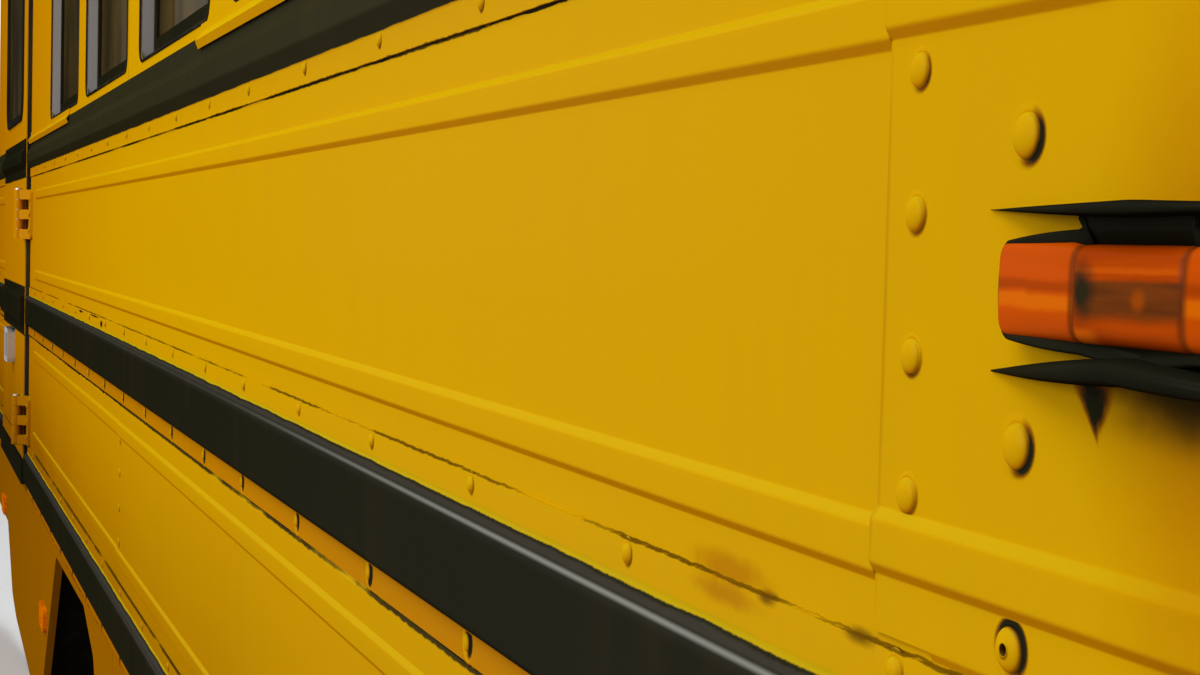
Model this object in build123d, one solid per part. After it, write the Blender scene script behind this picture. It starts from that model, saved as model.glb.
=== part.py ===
from build123d import *
import os
from math import hypot

# Right-hand body side of a school bus, from the wall's last six window bays to its rear corner.
# +X is forward, -Y is outboard and +Z is up. The origin is at mid length on the floor sill's
# inboard face, at the floor line. Every length is in millimetres.

# Stations along the wall, measured rearwards from its front end
bay_pitch = 711.0
bay_count = 6
end_post_inset = 55.0
plain_panel_width = 470.0
door_width = 790.0
door_gap = 12.0
rear_quarter_width = 498.0

# Levels above the floor line
header_height = 124.0
window_sill = 726.0
window_head = 1376.0
door_bottom = 8.0
door_top = 1396.0
skirt_bottom = -441.0
skirt_tail_bottom = -228.0

# Depth of the wall, from the inboard face to the outer skin
wall_depth = 58.0
skin = 1.6
frame_gauge = 2.0
sill_gauge = 4.0
lap = 1.6

# Posts, hat sections with their crowns inboard
post_width = 100.0
post_crown = 40.0
post_flange = 22.0

# Pressed rub rails: overall height, flange height, stand-off, slope of the sides and inside bend
rail_height = 103.5
rail_flange = 18.5
rail_proud = 10.0
rail_slope = 4.0
rail_bend = 4.0
seat_rail_top = 386.5
floor_rail_top = 40.7
upper_rail_bottom = 627.0
upper_rail_flange = 18.0
upper_rail_crest = 45.5
upper_rail_slope = 13.0
upper_rail_height = 84.0

# Stiffening beads pressed into the panels
bead_height = 21.5
bead_proud = 2.6
bead_slope = 3.6
bead_bend = 1.5
belt_beads = (597.0, 427.5)
belt_bead_lift = 3.0
lower_beads = (257.5, 86.0)

# Seams between outer sheets: whole bays ahead of each, and its distance past the post there.
# The sheet ahead of a seam is joggled outward between the rails and laps the one behind it.
belt_seam_bay_count = 1
lower_seam_bay_count = 4
belt_seam_past_post = 56.0
lower_seam_past_post = 99.0
seam_overlap = 36.0
seam_hold = 10.0
joggle_gap = 1.0
joggle_height = 3.0
bead_stop = 170.0

# Folded lips over the upper rail, one at each end of the run, with a bare stretch between them
front_lip_bay_count = 3
front_lip_past_post = 115.0
rear_lip_bay_count = 5
rear_lip_past_post = 223.0
sill_lip_below_sill = 28.0
sill_lip_proud = 6.0
sill_lip_height = 17.0
sill_lip_upstand = 8.0
sill_lip_hem = 8.0
sill_lip_return = 3.0

# Windows: clear opening in the sheet, aluminium frame, two sashes and their glass
window_clear_width = 570.0
window_corner = 24.0
window_frame_width = 21.0
window_frame_lap = 18.0
window_frame_depth = 34.0
window_fit = 2.0
sash_width = 24.0
sash_depth = 11.0
sash_gap = 1.0
sash_overlap = 26.0
upper_sash_setback = 14.0
latch_length = 40.0
latch_height = 16.0
latch_depth = 14.0
latch_grip_inset = 6.0
latch_grip_depth = 8.0
latch_inset = 90.0
glass_thickness = 4.0
meeting_level = 1040.0

# Cant rail, drip rail and sill
cant_rail_height = 42.0
cant_rail_gauge = 2.5
drip_rail_above_window = 44.0
drip_rail_proud = 16.0
drip_rail_height = 20.0
drip_rail_fall = 4.0
drip_rail_lip = 6.0
floor_sill_height = 70.0
floor_sill_upstand = 30.0
sill_bolt_pitch_x = 60.0
sill_bolt_pitch_z = 36.0
sill_bolt_radius = 6.5
sill_bolt_level = -38.0
waist_rail_height = 34.0
stringer_depth = 36.0

# Wheel opening in the skirt: distance rearwards of the sixth post, and level
arch_outline = (
    (-495.0, skirt_bottom),
    (-400.0, -260.0),
    (-290.0, -128.0),
    (-130.0, -80.0),
    (407.0, -86.0),
    (671.0, -361.0),
    (775.0, skirt_bottom),
)
arch_bay_count = 5
arch_corner = 45.0
arch_flange = 14.0
wheelhouse_depth = 230.0
wheelhouse_gauge = 2.5
wheelhouse_inset = 6.0
wheelhouse_foot = 20.0
arch_joint_past = 60.0
joint_gap = 2.0

# Bottom edge of the skirt towards the rear: distance rearwards of the last post, and level
skirt_line = (
    (329.0, skirt_bottom),
    (819.0, -405.0),
    (969.0, -372.0),
    (1179.0, skirt_tail_bottom),
)

# Skirt hangers behind the skirt
hanger_width = 60.0
hanger_depth = 24.0
hanger_foot = 30.0
hanger_arch_clearance = 40.0
skirt_return = 22.0

# Door leaf, its window and what is on it
door_proud = 10.0
door_inner_depth = 40.0
door_frame_bar = 38.0
door_mid_bar_level = 330.0
door_window_bar_drop = 45.0
door_rail_start_gap = 1.0
door_window_inset_front = 111.0
door_window_inset_rear = 98.0
door_window_bottom = 765.0
door_window_top = 1330.0
door_window_corner = 60.0
gasket_width = 16.0
gasket_proud = 4.0
gasket_depth = 12.0
gasket_groove = 2.0
door_glass_setback = 3.5
door_glass_fit = 0.5
door_rail_end_inset = 24.0
door_hinge_levels = (95.0, 545.0, 1300.0)
pin_proud = 26.0
pin_radius = 5.0
pin_clearance = 0.05
knuckle_radius = 9.5
knuckle_count = 5
knuckle_gap = 0.8
hinge_height = 107.0
hinge_leaf_length = 62.0
hinge_leaf_gauge = 5.0
hinge_leaf_corner = 10.0
hinge_leaf_gap = 2.0
hinge_arm_length = 18.0
hinge_arm_web = 3.0
pin_head_radius = 7.5
pin_head_height = 3.0
seal_width = 5.5
seal_depth = 30.0
handle_from_front = 320.0
handle_length = 120.0
handle_height = 80.0
handle_level = 240.0
handle_proud = 18.0
handle_corner = 10.0
handle_rim = 12.0
handle_floor = 5.0
grip_width = 12.0
grip_ahead = 30.0
grip_proud = 2.0
latch_case_width = 100.0
latch_case_height = 60.0
latch_case_depth = 12.0
latch_rod_width = 16.0
latch_rod_depth = 6.0
latch_rod_foot = 14.0
latch_rod_below_window = 115.0
threshold_proud = 14.0

# Side marker lamp: a lens with tapered ends, armoured by two curved horizontal fins
lamp_ahead_of_seam = 151.0
lamp_level = 501.6
lens_length = 142.0
lens_height = 28.5
lens_proud = 14.0
lens_shoulder = 5.0
lens_flat = 46.0
lens_wall = 1.8
lens_corner = 7.0
lamp_base_margin = 1.2
lamp_base_gauge = 3.0
fin_overhang = 16.0
fin_proud = 20.0
fin_taper = 45.0
fin_tip_gauge = 0.6
web_length = 49.0
web_proud = 12.0
web_fit = 0.3
bulb_radius = 4.5
bulb_length = 6.0
bulb_tray_length = 70.0
bulb_tray_height = 16.0
bulb_tray_gauge = 2.0

# The guard's fins, as distances above the lamp's middle: (tips, edge by the lens, far edge)
lamp_fins = (
    (23.1, 20.6, 24.4),
    (-23.3, -18.2, -22.4),
)

# Amber reflectors on the skirt: (distance rearwards of the last post, level)
reflector_places = ((-50.0, -243.0), (1288.0, -197.0))
reflector_corner = 8.0
reflector_width = 110.0
reflector_height = 45.0
reflector_gauge = 7.0

# Inboard lining
liner = 1.6
stool_nosing = 14.0
stool_rise = 6.0
liner_gap = 2.0
liner_joint = 1.0
chair_rail_level = 340.0
chair_rail_height = 32.0
chair_rail_proud = 24.0
chair_rail_gauge = 2.5
chair_rail_flange = 16.0

# Door opening and its jambs
opening_bottom = 0.0
jamb_width = 60.0
threshold_lap = 2.0
threshold_bottom = -47.0

# How near a corner must be to the place that names it, and how far a cutter reaches past its cut
corner_match = 0.01
cutter_margin = 1.0

# Values worked out from the sizes above
skin_y = -wall_depth
skin_back = -wall_depth + skin
lining_front = -wall_depth + sill_gauge
lining_back = lining_front - liner
post_stations = [end_post_inset + index * bay_pitch for index in range(bay_count + 1)]
last_post = post_stations[-1]
opening_front = last_post + plain_panel_width
door_front = opening_front + door_gap
door_rear = door_front + door_width
opening_rear = door_rear + door_gap
side_length = opening_rear + rear_quarter_width
rear_post = side_length - end_post_inset
pin_station = opening_front + door_gap / 2
belt_seam = post_stations[belt_seam_bay_count] + belt_seam_past_post
lower_seam = post_stations[lower_seam_bay_count] + lower_seam_past_post
window_seam = post_stations[lower_seam_bay_count] + belt_seam_past_post
arch_base = post_stations[arch_bay_count]
opening_top = door_top + door_gap
wall_top = window_head + header_height
drip_rail_level = window_head + drip_rail_above_window
sill_lip_bottom = window_sill - sill_lip_below_sill
front_run = (0.0, opening_front)
rear_run = (opening_rear, side_length)
inner_run = (opening_front + joint_gap / 2, opening_rear - joint_gap / 2)

# Outer sheets end behind the middle of the rail that covers their joint
window_sheet_bottom = upper_rail_bottom + rail_flange * 2 / 3
belt_top = window_sheet_bottom - joint_gap
belt_bottom = seat_rail_top - rail_height / 2
seat_rail_bottom = seat_rail_top - rail_height
lower_top = belt_bottom - joint_gap
lower_bottom = floor_rail_top - rail_height / 2
skirt_top = lower_bottom - joint_gap
belt_panel = (belt_top, belt_bottom, belt_beads)
belt_panel_ahead = (belt_top, belt_bottom, tuple(level + belt_bead_lift for level in belt_beads))
lower_panel = (lower_top, lower_bottom, lower_beads)

# Windows and their sashes
frame_low = window_sill - window_frame_lap
frame_high = window_head + window_frame_lap
upper_sash_back = -skin - upper_sash_setback
lower_sash_back = upper_sash_back - sash_depth - sash_gap
sash_bottom = frame_low + window_frame_width + sash_gap
sash_top = frame_high - window_frame_width - sash_gap
lower_sash_top = meeting_level + sash_overlap / 2
upper_sash_bottom = meeting_level - sash_overlap / 2

# Door window: start, end, bottom and top of its opening
door_window = (
    door_front + door_window_inset_front,
    door_rear - door_window_inset_rear,
    door_window_bottom,
    door_window_top,
)
door_back = door_proud - door_inner_depth
handle_front = door_front + handle_from_front
lamp_middle = belt_seam - lamp_ahead_of_seam
fin_half = lens_length / 2 + fin_overhang


def x_at(station):
    """X of a station that is measured rearwards from the front end."""
    return side_length / 2 - station


def thicken(profile, gauge):
    """Closed outline of a sheet: an open (u, z) profile and its copy set back by the gauge."""
    normals = []
    for (u0, z0), (u1, z1) in zip(profile, profile[1:]):
        span = hypot(u1 - u0, z1 - z0)
        normals.append(((z1 - z0) / span, (u0 - u1) / span))
    back = []
    for index, (u, z) in enumerate(profile):
        before = normals[max(index - 1, 0)]
        after = normals[min(index, len(normals) - 1)]
        share = gauge / (1 + before[0] * after[0] + before[1] * after[1])
        back.append((u + (before[0] + after[0]) * share, z + (before[1] + after[1]) * share))
    return profile + back[::-1]


def section(outline, outboard_of=skin_y):
    """Face in the YZ plane of a closed (u, z) outline, u being the distance outboard."""
    return make_face(Polyline(*[(outboard_of - u, z) for u, z in outline], close=True))


def round_corners(face, places, radius, outboard_of=skin_y):
    """A section whose corners at some (u, z) places are rounded."""
    targets = [(outboard_of - u, z) for u, z in places]
    corners = [
        corner for corner in face.vertices()
        if any(hypot(corner.X - y, corner.Y - z) < corner_match for y, z in targets)
    ]
    return fillet(corners, radius)


def bent(profile, gauge, radius, outboard_of=skin_y):
    """Section of a sheet bent along an open (u, z) profile, with a radius inside each bend."""
    outline = thicken(profile, gauge)
    inside, outside = [], []
    for index in range(1, len(profile) - 1):
        (u0, z0), (u1, z1), (u2, z2) = profile[index - 1:index + 2]
        turn = (u1 - u0) * (z2 - z1) - (z1 - z0) * (u2 - u1)
        sides = [profile[index], outline[-1 - index]]
        if turn * gauge < 0:
            sides.reverse()
        inside.append(sides[0])
        outside.append(sides[1])
    face = round_corners(section(outline, outboard_of), inside, radius, outboard_of)
    return round_corners(face, outside, radius + abs(gauge), outboard_of)


def run(face, start, end):
    """A YZ face carried along the wall between two stations."""
    return extrude(Plane.YZ.offset(x_at(end)) * face, amount=end - start)


def strip(start, end, low, high, back, front):
    """A box between two stations, two levels and two distances outboard of the skin plane."""
    return run(section([(back, low), (front, low), (front, high), (back, high)]), start, end)


def elevation(outline, back, front):
    """A closed (station, z) outline given thickness between two distances outboard of the skin."""
    face = make_face(Polyline(*[(x_at(s), z) for s, z in outline], close=True))
    return extrude(Plane.XZ.offset(-(skin_y - back)) * face, amount=front - back)


def opening(start, end, low, high, corner, back, front):
    """A rounded window opening as a solid to be taken from a sheet."""
    middle = ((x_at(start) + x_at(end)) / 2, (low + high) / 2)
    face = Pos(*middle) * RectangleRounded(end - start, high - low, corner)
    return extrude(Plane.XZ.offset(-(skin_y - back)) * face, amount=front - back)


def ring(start, end, low, high, width, back, front):
    """A rectangular frame with bars of one width."""
    outer = strip(start, end, low, high, back, front)
    return outer - strip(start + width, end - width, low + width, high - width, back, front)


def rail_profile(top, base=0.0):
    """Outer surface of a hat-shaped rub rail on a base, from its top edge down."""
    raised_top = top - rail_flange
    raised_bottom = top - rail_height + rail_flange
    return [
        (base + lap, top),
        (base + lap, raised_top),
        (base + rail_proud, raised_top - rail_slope),
        (base + rail_proud, raised_bottom + rail_slope),
        (base + lap, raised_bottom),
        (base + lap, top - rail_height),
    ]


def rail(profile, start, end):
    """A rub rail between two stations, its hollow closed by a plate at each end."""
    sheet = run(bent(profile, skin, rail_bend), start, end)
    plate = round_corners(section(profile[1:-1]), profile[2:-2], rail_bend + skin)
    return sheet + run(plate, start, start + skin) + run(plate, end - skin, end)


def upper_rail_profile(base=0.0):
    """Outer surface of the rail under the windows: a ridge between two flat flanges."""
    raised_bottom = upper_rail_bottom + upper_rail_flange
    raised_top = raised_bottom + upper_rail_crest
    return [
        (base + lap, upper_rail_bottom + upper_rail_height),
        (base + lap, raised_top),
        (base + rail_proud, raised_top - upper_rail_slope),
        (base + rail_proud, raised_bottom + upper_rail_slope),
        (base + lap, raised_bottom),
        (base + lap, upper_rail_bottom),
    ]


def bead_profile(level):
    """Outer surface of one raised bead, from its top edge down."""
    return [
        (0, level),
        (bead_proud, level - bead_slope),
        (bead_proud, level - bead_height + bead_slope),
        (0, level - bead_height),
    ]


def panel_profile(top, bottom, beads):
    """Outer surface of a flat panel with raised beads, given by their top edges."""
    return [(0, top)] + [point for level in beads for point in bead_profile(level)] + [(0, bottom)]


def bead_cap(level):
    """Section of the plug that closes a bead where it stops short."""
    profile = bead_profile(level)
    outline = [(-skin, level)] + profile + [(-skin, level - bead_height)]
    return round_corners(section(outline), profile[1:-1], bead_bend + skin)


def beaded_panel(top, bottom, beads, start, end, lead=0.0, plain=0.0):
    """A panel between two stations, flat for a lead at its front and for a length at its rear."""
    first, last = start + lead, end - plain
    panel = run(bent(panel_profile(top, bottom, beads), skin, bead_bend), first, last)
    if lead:
        panel += strip(start, first, bottom, top, -skin, 0)
    if plain:
        panel += strip(last, end, bottom, top, -skin, 0)
    for level in beads:
        if lead:
            panel += run(bead_cap(level), first, first + skin)
        if plain:
            panel += run(bead_cap(level), last - skin, last)
    return panel


def lapped_panel(top, bottom, beads, seam, raised_top, raised_bottom):
    """The panel ahead of a seam, joggled outward between two levels and lapping the next one."""
    inner_top, inner_bottom = raised_top - joggle_height, raised_bottom + joggle_height
    raised = [(lap + u, z) for u, z in panel_profile(inner_top, inner_bottom, beads)]
    sheet = [(0, top), (0, raised_top)] + raised + [(0, raised_bottom), (0, bottom)]
    panel = run(bent(sheet, skin, bead_bend), 0, seam - seam_overlap)
    return panel + run(bent(raised, skin, bead_bend), seam - seam_overlap - seam_hold, seam)


def sheet_with_windows(start, end, first_bay, bay_after):
    """Yellow sheet between waist and cant rail, with the openings of a stretch of bays."""
    sheet = strip(start, end, window_sheet_bottom, wall_top, -skin, 0)
    half = window_clear_width / 2
    for index in range(first_bay, bay_after):
        middle = (post_stations[index] + post_stations[index + 1]) / 2
        sheet -= opening(middle - half, middle + half, window_sill, window_head, window_corner, -skin, 0)
    return sheet


def floor_sill():
    """Channel that the side stands on, its web inboard and its flanges outboard."""
    low, high = opening_bottom - floor_sill_height, opening_bottom
    back = -wall_depth
    channel = [
        (-skin, low),
        (back, low),
        (back, high + floor_sill_upstand),
        (back + sill_gauge, high + floor_sill_upstand),
        (back + sill_gauge, high),
        (-skin, high),
        (-skin, high - sill_gauge),
        (back + sill_gauge, high - sill_gauge),
        (back + sill_gauge, low + sill_gauge),
        (-skin, low + sill_gauge),
    ]
    sill = run(section(channel), 0, side_length)
    drill = Rotation(90, 0, 0) * Cylinder(sill_bolt_radius, 4 * sill_gauge)
    for station in post_stations + [rear_post]:
        for across in (-sill_bolt_pitch_x / 2, sill_bolt_pitch_x / 2):
            for up in (-sill_bolt_pitch_z / 2, sill_bolt_pitch_z / 2):
                sill -= Pos(x_at(station) + across, 0, sill_bolt_level + up) * drill
    return sill


def hat_post(station, low, high):
    """A hat-section post with its flanges on the outer skin and its crown inboard."""
    deep = wall_depth - skin - sill_gauge - frame_gauge
    half, crown = post_width / 2, post_crown / 2
    foot = half - post_flange
    profile = [(-half, 0), (-foot, 0), (-crown, -deep), (crown, -deep), (foot, 0), (half, 0)]
    points = [(x_at(station) + across, skin_back - depth) for across, depth in thicken(profile, frame_gauge)]
    face = make_face(Polyline(*points, close=True))
    return extrude(Plane.XY.offset(low) * face, amount=high - low)


def cant_rail():
    """Box rail along the top of the wall."""
    low = wall_top - cant_rail_height
    back = lining_front
    outer = strip(0, side_length, low, wall_top, back, -skin)
    return outer - strip(
        0, side_length, low + cant_rail_gauge, wall_top - cant_rail_gauge,
        back + cant_rail_gauge, -skin - cant_rail_gauge,
    )


def stringers(level, height):
    """Channels between the posts, one to a bay, along the inner face of the skin."""
    pieces = []
    spans = [(first, second) for first, second in zip(post_stations, post_stations[1:])]
    edge = post_width / 2
    spans = [(first + edge, second - edge) for first, second in spans]
    spans.append((last_post + edge, opening_front - jamb_width))
    spans.append((opening_rear + jamb_width, rear_post - edge))
    for start, end in spans:
        ends = (start + joint_gap / 2, end - joint_gap / 2)
        block = strip(*ends, level - height, level, -skin - stringer_depth, -skin)
        hollow = strip(
            *ends, level - height + frame_gauge, level - frame_gauge,
            -skin - stringer_depth, -skin - frame_gauge,
        )
        pieces.append(block - hollow)
    return pieces


def door_jambs():
    """Box posts at the two sides of the door opening."""
    pieces = []
    low, high = opening_bottom, wall_top - cant_rail_height
    back = lining_front
    for start in (opening_front - jamb_width, opening_rear):
        end = start + jamb_width
        outer = strip(start, end, low, high, back, -skin)
        inner = strip(
            start + frame_gauge, end - frame_gauge, low, high, back + frame_gauge, -skin - frame_gauge
        )
        pieces.append(outer - inner)
    return pieces


def skirt_edge():
    """Stations and levels of the skirt's bottom edge, from the front end to the rear end."""
    corners = [(last_post + past, level) for past, level in skirt_line]
    return [(0.0, skirt_bottom)] + corners + [(side_length, skirt_tail_bottom)]


def skirt_level(station):
    """Bottom of the skirt at a station: it rises towards the rear end."""
    edge = skirt_edge()
    for (start, low), (end, high) in zip(edge, edge[1:]):
        if station <= end:
            return low + (high - low) * (station - start) / (end - start)
    return skirt_tail_bottom


def arch_points(inset=0.0):
    """Stations and levels of the wheel opening, widened and raised by an inset."""
    middle = arch_base + (arch_outline[0][0] + arch_outline[-1][0]) / 2
    points = []
    for past, level in arch_outline:
        station = arch_base + past
        outward = inset if station > middle else -inset
        lift = inset if level > skirt_bottom else 0
        points.append((station + outward, level + lift))
    return points


def arch_solid(inset, back, front):
    """The wheel opening as a solid with rounded upper corners."""
    solid = elevation(arch_points(inset), back, front)
    lowest = skirt_bottom + arch_corner
    upright = [edge for edge in solid.edges().filter_by(Axis.Y) if edge.center().Z > lowest]
    return fillet(upright, arch_corner + inset)


def skirt_sheet(start, end):
    """A skirt panel with a return flange along its bottom edge."""
    bottom = [(start, skirt_level(start))]
    bottom += [(station, level) for station, level in skirt_edge() if start < station < end]
    bottom.append((end, skirt_level(end)))
    face = elevation(bottom + [(end, skirt_top), (start, skirt_top)], -skin, 0)
    flange = elevation(bottom + [(s, z + skin) for s, z in reversed(bottom)], -skirt_return, -skin)
    return face + flange


def skirts():
    """The plain skirt panels, and the one between them that is cut and flanged for the wheel."""
    first = arch_base + arch_outline[0][0] - arch_joint_past
    second = arch_base + arch_outline[-1][0] + arch_joint_past
    half_gap = joint_gap / 2
    middle = skirt_sheet(first + half_gap, second - half_gap)
    middle += arch_solid(skin, -arch_flange, -skin)
    middle -= arch_solid(0, -skirt_return - cutter_margin, cutter_margin)
    plain = [skirt_sheet(0, first - half_gap), skirt_sheet(second + half_gap, side_length)]
    return plain, middle


def wheelhouse():
    """Pressed box round the tyre, open below and outboard."""
    outer_back = -skin - wheelhouse_depth
    shell = arch_solid(wheelhouse_inset + wheelhouse_gauge, outer_back, -skin)
    hollow = arch_solid(wheelhouse_inset, outer_back + wheelhouse_gauge, cutter_margin)
    below = strip(
        0, side_length, skirt_bottom - cutter_margin, skirt_bottom + wheelhouse_foot,
        outer_back - cutter_margin, cutter_margin,
    )
    return shell - hollow - below


def skirt_hangers():
    """Short hat sections that hold the skirt under the sill."""
    pieces = []
    arch = arch_points(hanger_arch_clearance)
    for station in post_stations + [opening_front - jamb_width / 2, rear_post]:
        if arch[0][0] < station < arch[-1][0]:
            continue
        low = skirt_level(station) + hanger_foot
        high = opening_bottom - floor_sill_height
        half = hanger_width / 2
        outer = strip(station - half, station + half, low, high, -skin - hanger_depth, -skin)
        inner = strip(
            station - half + frame_gauge, station + half - frame_gauge, low, high,
            -skin - hanger_depth + frame_gauge, -skin,
        )
        pieces.append(outer - inner)
    return pieces


def drip_rail():
    """Gutter over the windows, an upturned J along the wall."""
    foot = drip_rail_level - drip_rail_height
    profile = [
        (0, drip_rail_level),
        (0, foot),
        (drip_rail_proud, foot + drip_rail_fall),
        (drip_rail_proud, foot + drip_rail_fall + drip_rail_lip),
    ]
    return run(section(thicken(profile, -skin)), 0, side_length)


def sill_lips():
    """Folded strips over the top edge of the rail under the windows."""
    top = sill_lip_bottom + sill_lip_height
    profile = [
        (skin, top + sill_lip_upstand),
        (skin, top),
        (skin + sill_lip_proud, sill_lip_bottom + sill_lip_hem),
        (skin + sill_lip_return, sill_lip_bottom),
    ]
    spans = (
        (0, post_stations[front_lip_bay_count] + front_lip_past_post),
        (post_stations[rear_lip_bay_count] + rear_lip_past_post, opening_front),
    )
    return [run(section(thicken(profile, skin)), *span) for span in spans]


def window_bays():
    """Start and end of each bay's window frame."""
    clear = post_width / 2 + window_fit
    return [(first + clear, second - clear) for first, second in zip(post_stations, post_stations[1:])]


def window_frames():
    """Aluminium frames behind the sheet, one to a bay."""
    return [
        ring(start, end, frame_low, frame_high, window_frame_width, -skin - window_frame_depth, -skin)
        for start, end in window_bays()
    ]


def sash(low, high, back):
    """One sash in every bay."""
    inset = window_frame_width + sash_gap
    return [
        ring(start + inset, end - inset, low, high, sash_width, back, back + sash_depth)
        for start, end in window_bays()
    ]


def sash_glass(low, high, back):
    """The pane of one sash in every bay."""
    inset = window_frame_width + sash_gap + sash_width
    pane_back = back + (sash_depth - glass_thickness) / 2
    pane_front = pane_back + glass_thickness
    return [
        strip(start + inset, end - inset, low + sash_width, high - sash_width, pane_back, pane_front)
        for start, end in window_bays()
    ]


def sash_latches():
    """Spring latches at both ends of the upper sash's bottom bar."""
    pieces = []
    back = upper_sash_back - latch_depth
    low = lower_sash_top + joint_gap
    grip_half = latch_length / 2 - latch_grip_inset
    for start, end in window_bays():
        for middle in (start + latch_inset, end - latch_inset):
            half = latch_length / 2
            base = strip(middle - half, middle + half, low, low + latch_height, back, upper_sash_back)
            grip = strip(
                middle - grip_half, middle + grip_half, low + latch_grip_inset / 2,
                low + latch_height - latch_grip_inset / 2, back - latch_grip_depth, back,
            )
            pieces.append(base + grip)
    return pieces


def liner_strips(low, high):
    """Flat lining between two levels, ahead of the door and behind it."""
    return [
        strip(0, opening_front, low, high, lining_back, lining_front),
        strip(opening_rear, side_length, low, high, lining_back, lining_front),
    ]


def chair_rail():
    """Pressed ledge that the seats bolt to, ahead of the door."""
    low, high = chair_rail_level, chair_rail_level + chair_rail_height
    profile = [
        (lining_back, low - chair_rail_flange),
        (lining_back, low),
        (lining_back - chair_rail_proud, low),
        (lining_back - chair_rail_proud, high),
        (lining_back, high),
        (lining_back, high + chair_rail_flange),
    ]
    return run(section(thicken(profile, -chair_rail_gauge)), 0, opening_front - jamb_width)


def window_stools():
    """Ledges under the windows, from the lining to the frames, one to a bay."""
    low = frame_low + stool_rise
    front = -skin - window_frame_depth
    return [
        strip(start, end, low, low + liner, lining_back - stool_nosing, front)
        for start, end in window_bays()
    ]


def header_liner():
    """Lining above the windows and the door, under the cant rail."""
    return strip(0, side_length, frame_high + liner_gap, wall_top, lining_back, lining_front)


def post_covers():
    """Lining over each post between two windows, and behind the door."""
    spans = []
    for index, station in enumerate(post_stations):
        end = station + post_width / 2 if index < bay_count else opening_front
        spans.append((max(station - post_width / 2, 0), end))
    spans.append(rear_run)
    return [
        strip(*span, frame_low + liner_gap, frame_high + liner_gap / 2, lining_back, lining_front)
        for span in spans
    ]


def door_skin():
    """Outer sheet of the door with its window opening."""
    sheet = strip(door_front, door_rear, door_bottom, door_top, door_proud - skin, door_proud)
    return sheet - opening(*door_window, door_window_corner, door_proud - skin, door_proud)


def door_frame():
    """Welded tube frame of the door, with bars under the window and at mid height."""
    back, front = door_back + skin, door_proud - skin
    frame = ring(door_front, door_rear, door_bottom, door_top, door_frame_bar, back, front)
    for level in (door_window_bottom - door_window_bar_drop - door_frame_bar, door_mid_bar_level):
        frame += strip(door_front + skin, door_rear - skin, level, level + door_frame_bar, back, front)
    return frame


def door_inner_panel():
    """Inner sheet of the door with its window opening."""
    sheet = strip(door_front, door_rear, door_bottom, door_top, door_back, door_back + skin)
    return sheet - opening(*door_window, door_window_corner, door_back, door_back + skin)


def window_offset(outward):
    """Start, end, bottom, top and corner of the door's window opening, made larger all round."""
    start, end, low, high = door_window
    return start - outward, end + outward, low - outward, high + outward, door_window_corner + outward


def door_gasket():
    """Rubber frame that grips the edge of the door skin and the pane."""
    half = gasket_width / 2
    face = opening(*window_offset(half), door_proud, door_proud + gasket_proud)
    lip = opening(*window_offset(0), door_proud - gasket_depth, door_proud)
    hole = opening(*window_offset(-half), door_proud - gasket_depth, door_proud + gasket_proud)
    groove_front = door_proud - door_glass_setback + door_glass_fit
    groove_back = door_proud - door_glass_setback - glass_thickness - door_glass_fit
    return face + lip - hole - opening(*window_offset(-gasket_groove), groove_back, groove_front)


def door_glass():
    """Pane held in the gasket's groove."""
    front = door_proud - door_glass_setback
    return opening(*window_offset(-gasket_groove - door_glass_fit), front - glass_thickness, front)


def door_rails():
    """The wall's rub rails carried across the door."""
    span = (door_front + door_rail_start_gap, door_rear - door_rail_end_inset)
    return [
        rail(rail_profile(seat_rail_top, door_proud), *span),
        rail(upper_rail_profile(door_proud), *span),
    ]


def hinge_side(level, own, arm_sign, base, bore):
    """One half of a hinge: a leaf on the sheet and its knuckles round the pin."""
    low = level - hinge_height / 2
    pitch = hinge_height / knuckle_count
    pin_x, pin_y = x_at(pin_station), skin_y - pin_proud
    near = door_gap / 2 + hinge_leaf_gap
    ends = sorted((pin_station - arm_sign * near, pin_station - arm_sign * (near + hinge_leaf_length)))
    half = opening(*ends, low, low + hinge_height, hinge_leaf_corner, base, base + hinge_leaf_gauge)
    leaf_front = skin_y - base - hinge_leaf_gauge
    arm_face = make_face(Polyline(
        (pin_x, pin_y + knuckle_radius),
        (pin_x, pin_y - knuckle_radius),
        (pin_x + arm_sign * (near + hinge_arm_length), leaf_front),
        (pin_x + arm_sign * near, leaf_front + hinge_leaf_gauge - hinge_arm_web),
        (pin_x + arm_sign * near, pin_y + hinge_arm_web),
        close=True,
    ))
    for index in range(own, knuckle_count, 2):
        bottom = low + index * pitch + (knuckle_gap / 2 if index else 0)
        top = low + (index + 1) * pitch - (knuckle_gap / 2 if index < knuckle_count - 1 else 0)
        half += extrude(Plane.XY.offset(bottom) * arm_face, amount=top - bottom)
        half += Pos(pin_x, pin_y, (bottom + top) / 2) * Cylinder(knuckle_radius, top - bottom)
    return half - Pos(pin_x, pin_y, level) * Cylinder(bore, hinge_height + cutter_margin)


def hinge_pins():
    """Headed pins, tight in the body's knuckles."""
    pieces = []
    for level in door_hinge_levels:
        place = Pos(x_at(pin_station), skin_y - pin_proud, level)
        shank = place * Cylinder(pin_radius, hinge_height)
        head_middle = (hinge_height + pin_head_height) / 2
        pieces.append(shank + place * Pos(0, 0, head_middle) * Cylinder(pin_head_radius, pin_head_height))
    return pieces


def door_seals():
    """Rubber strips on the jambs, clear of the swinging leaf."""
    low, high = opening_bottom + joint_gap, door_top
    return [
        strip(opening_front, opening_front + seal_width, low, high, -seal_depth, door_proud - joint_gap),
        strip(opening_rear - seal_width, opening_rear, low, high, -seal_depth, 0),
    ]


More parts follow.
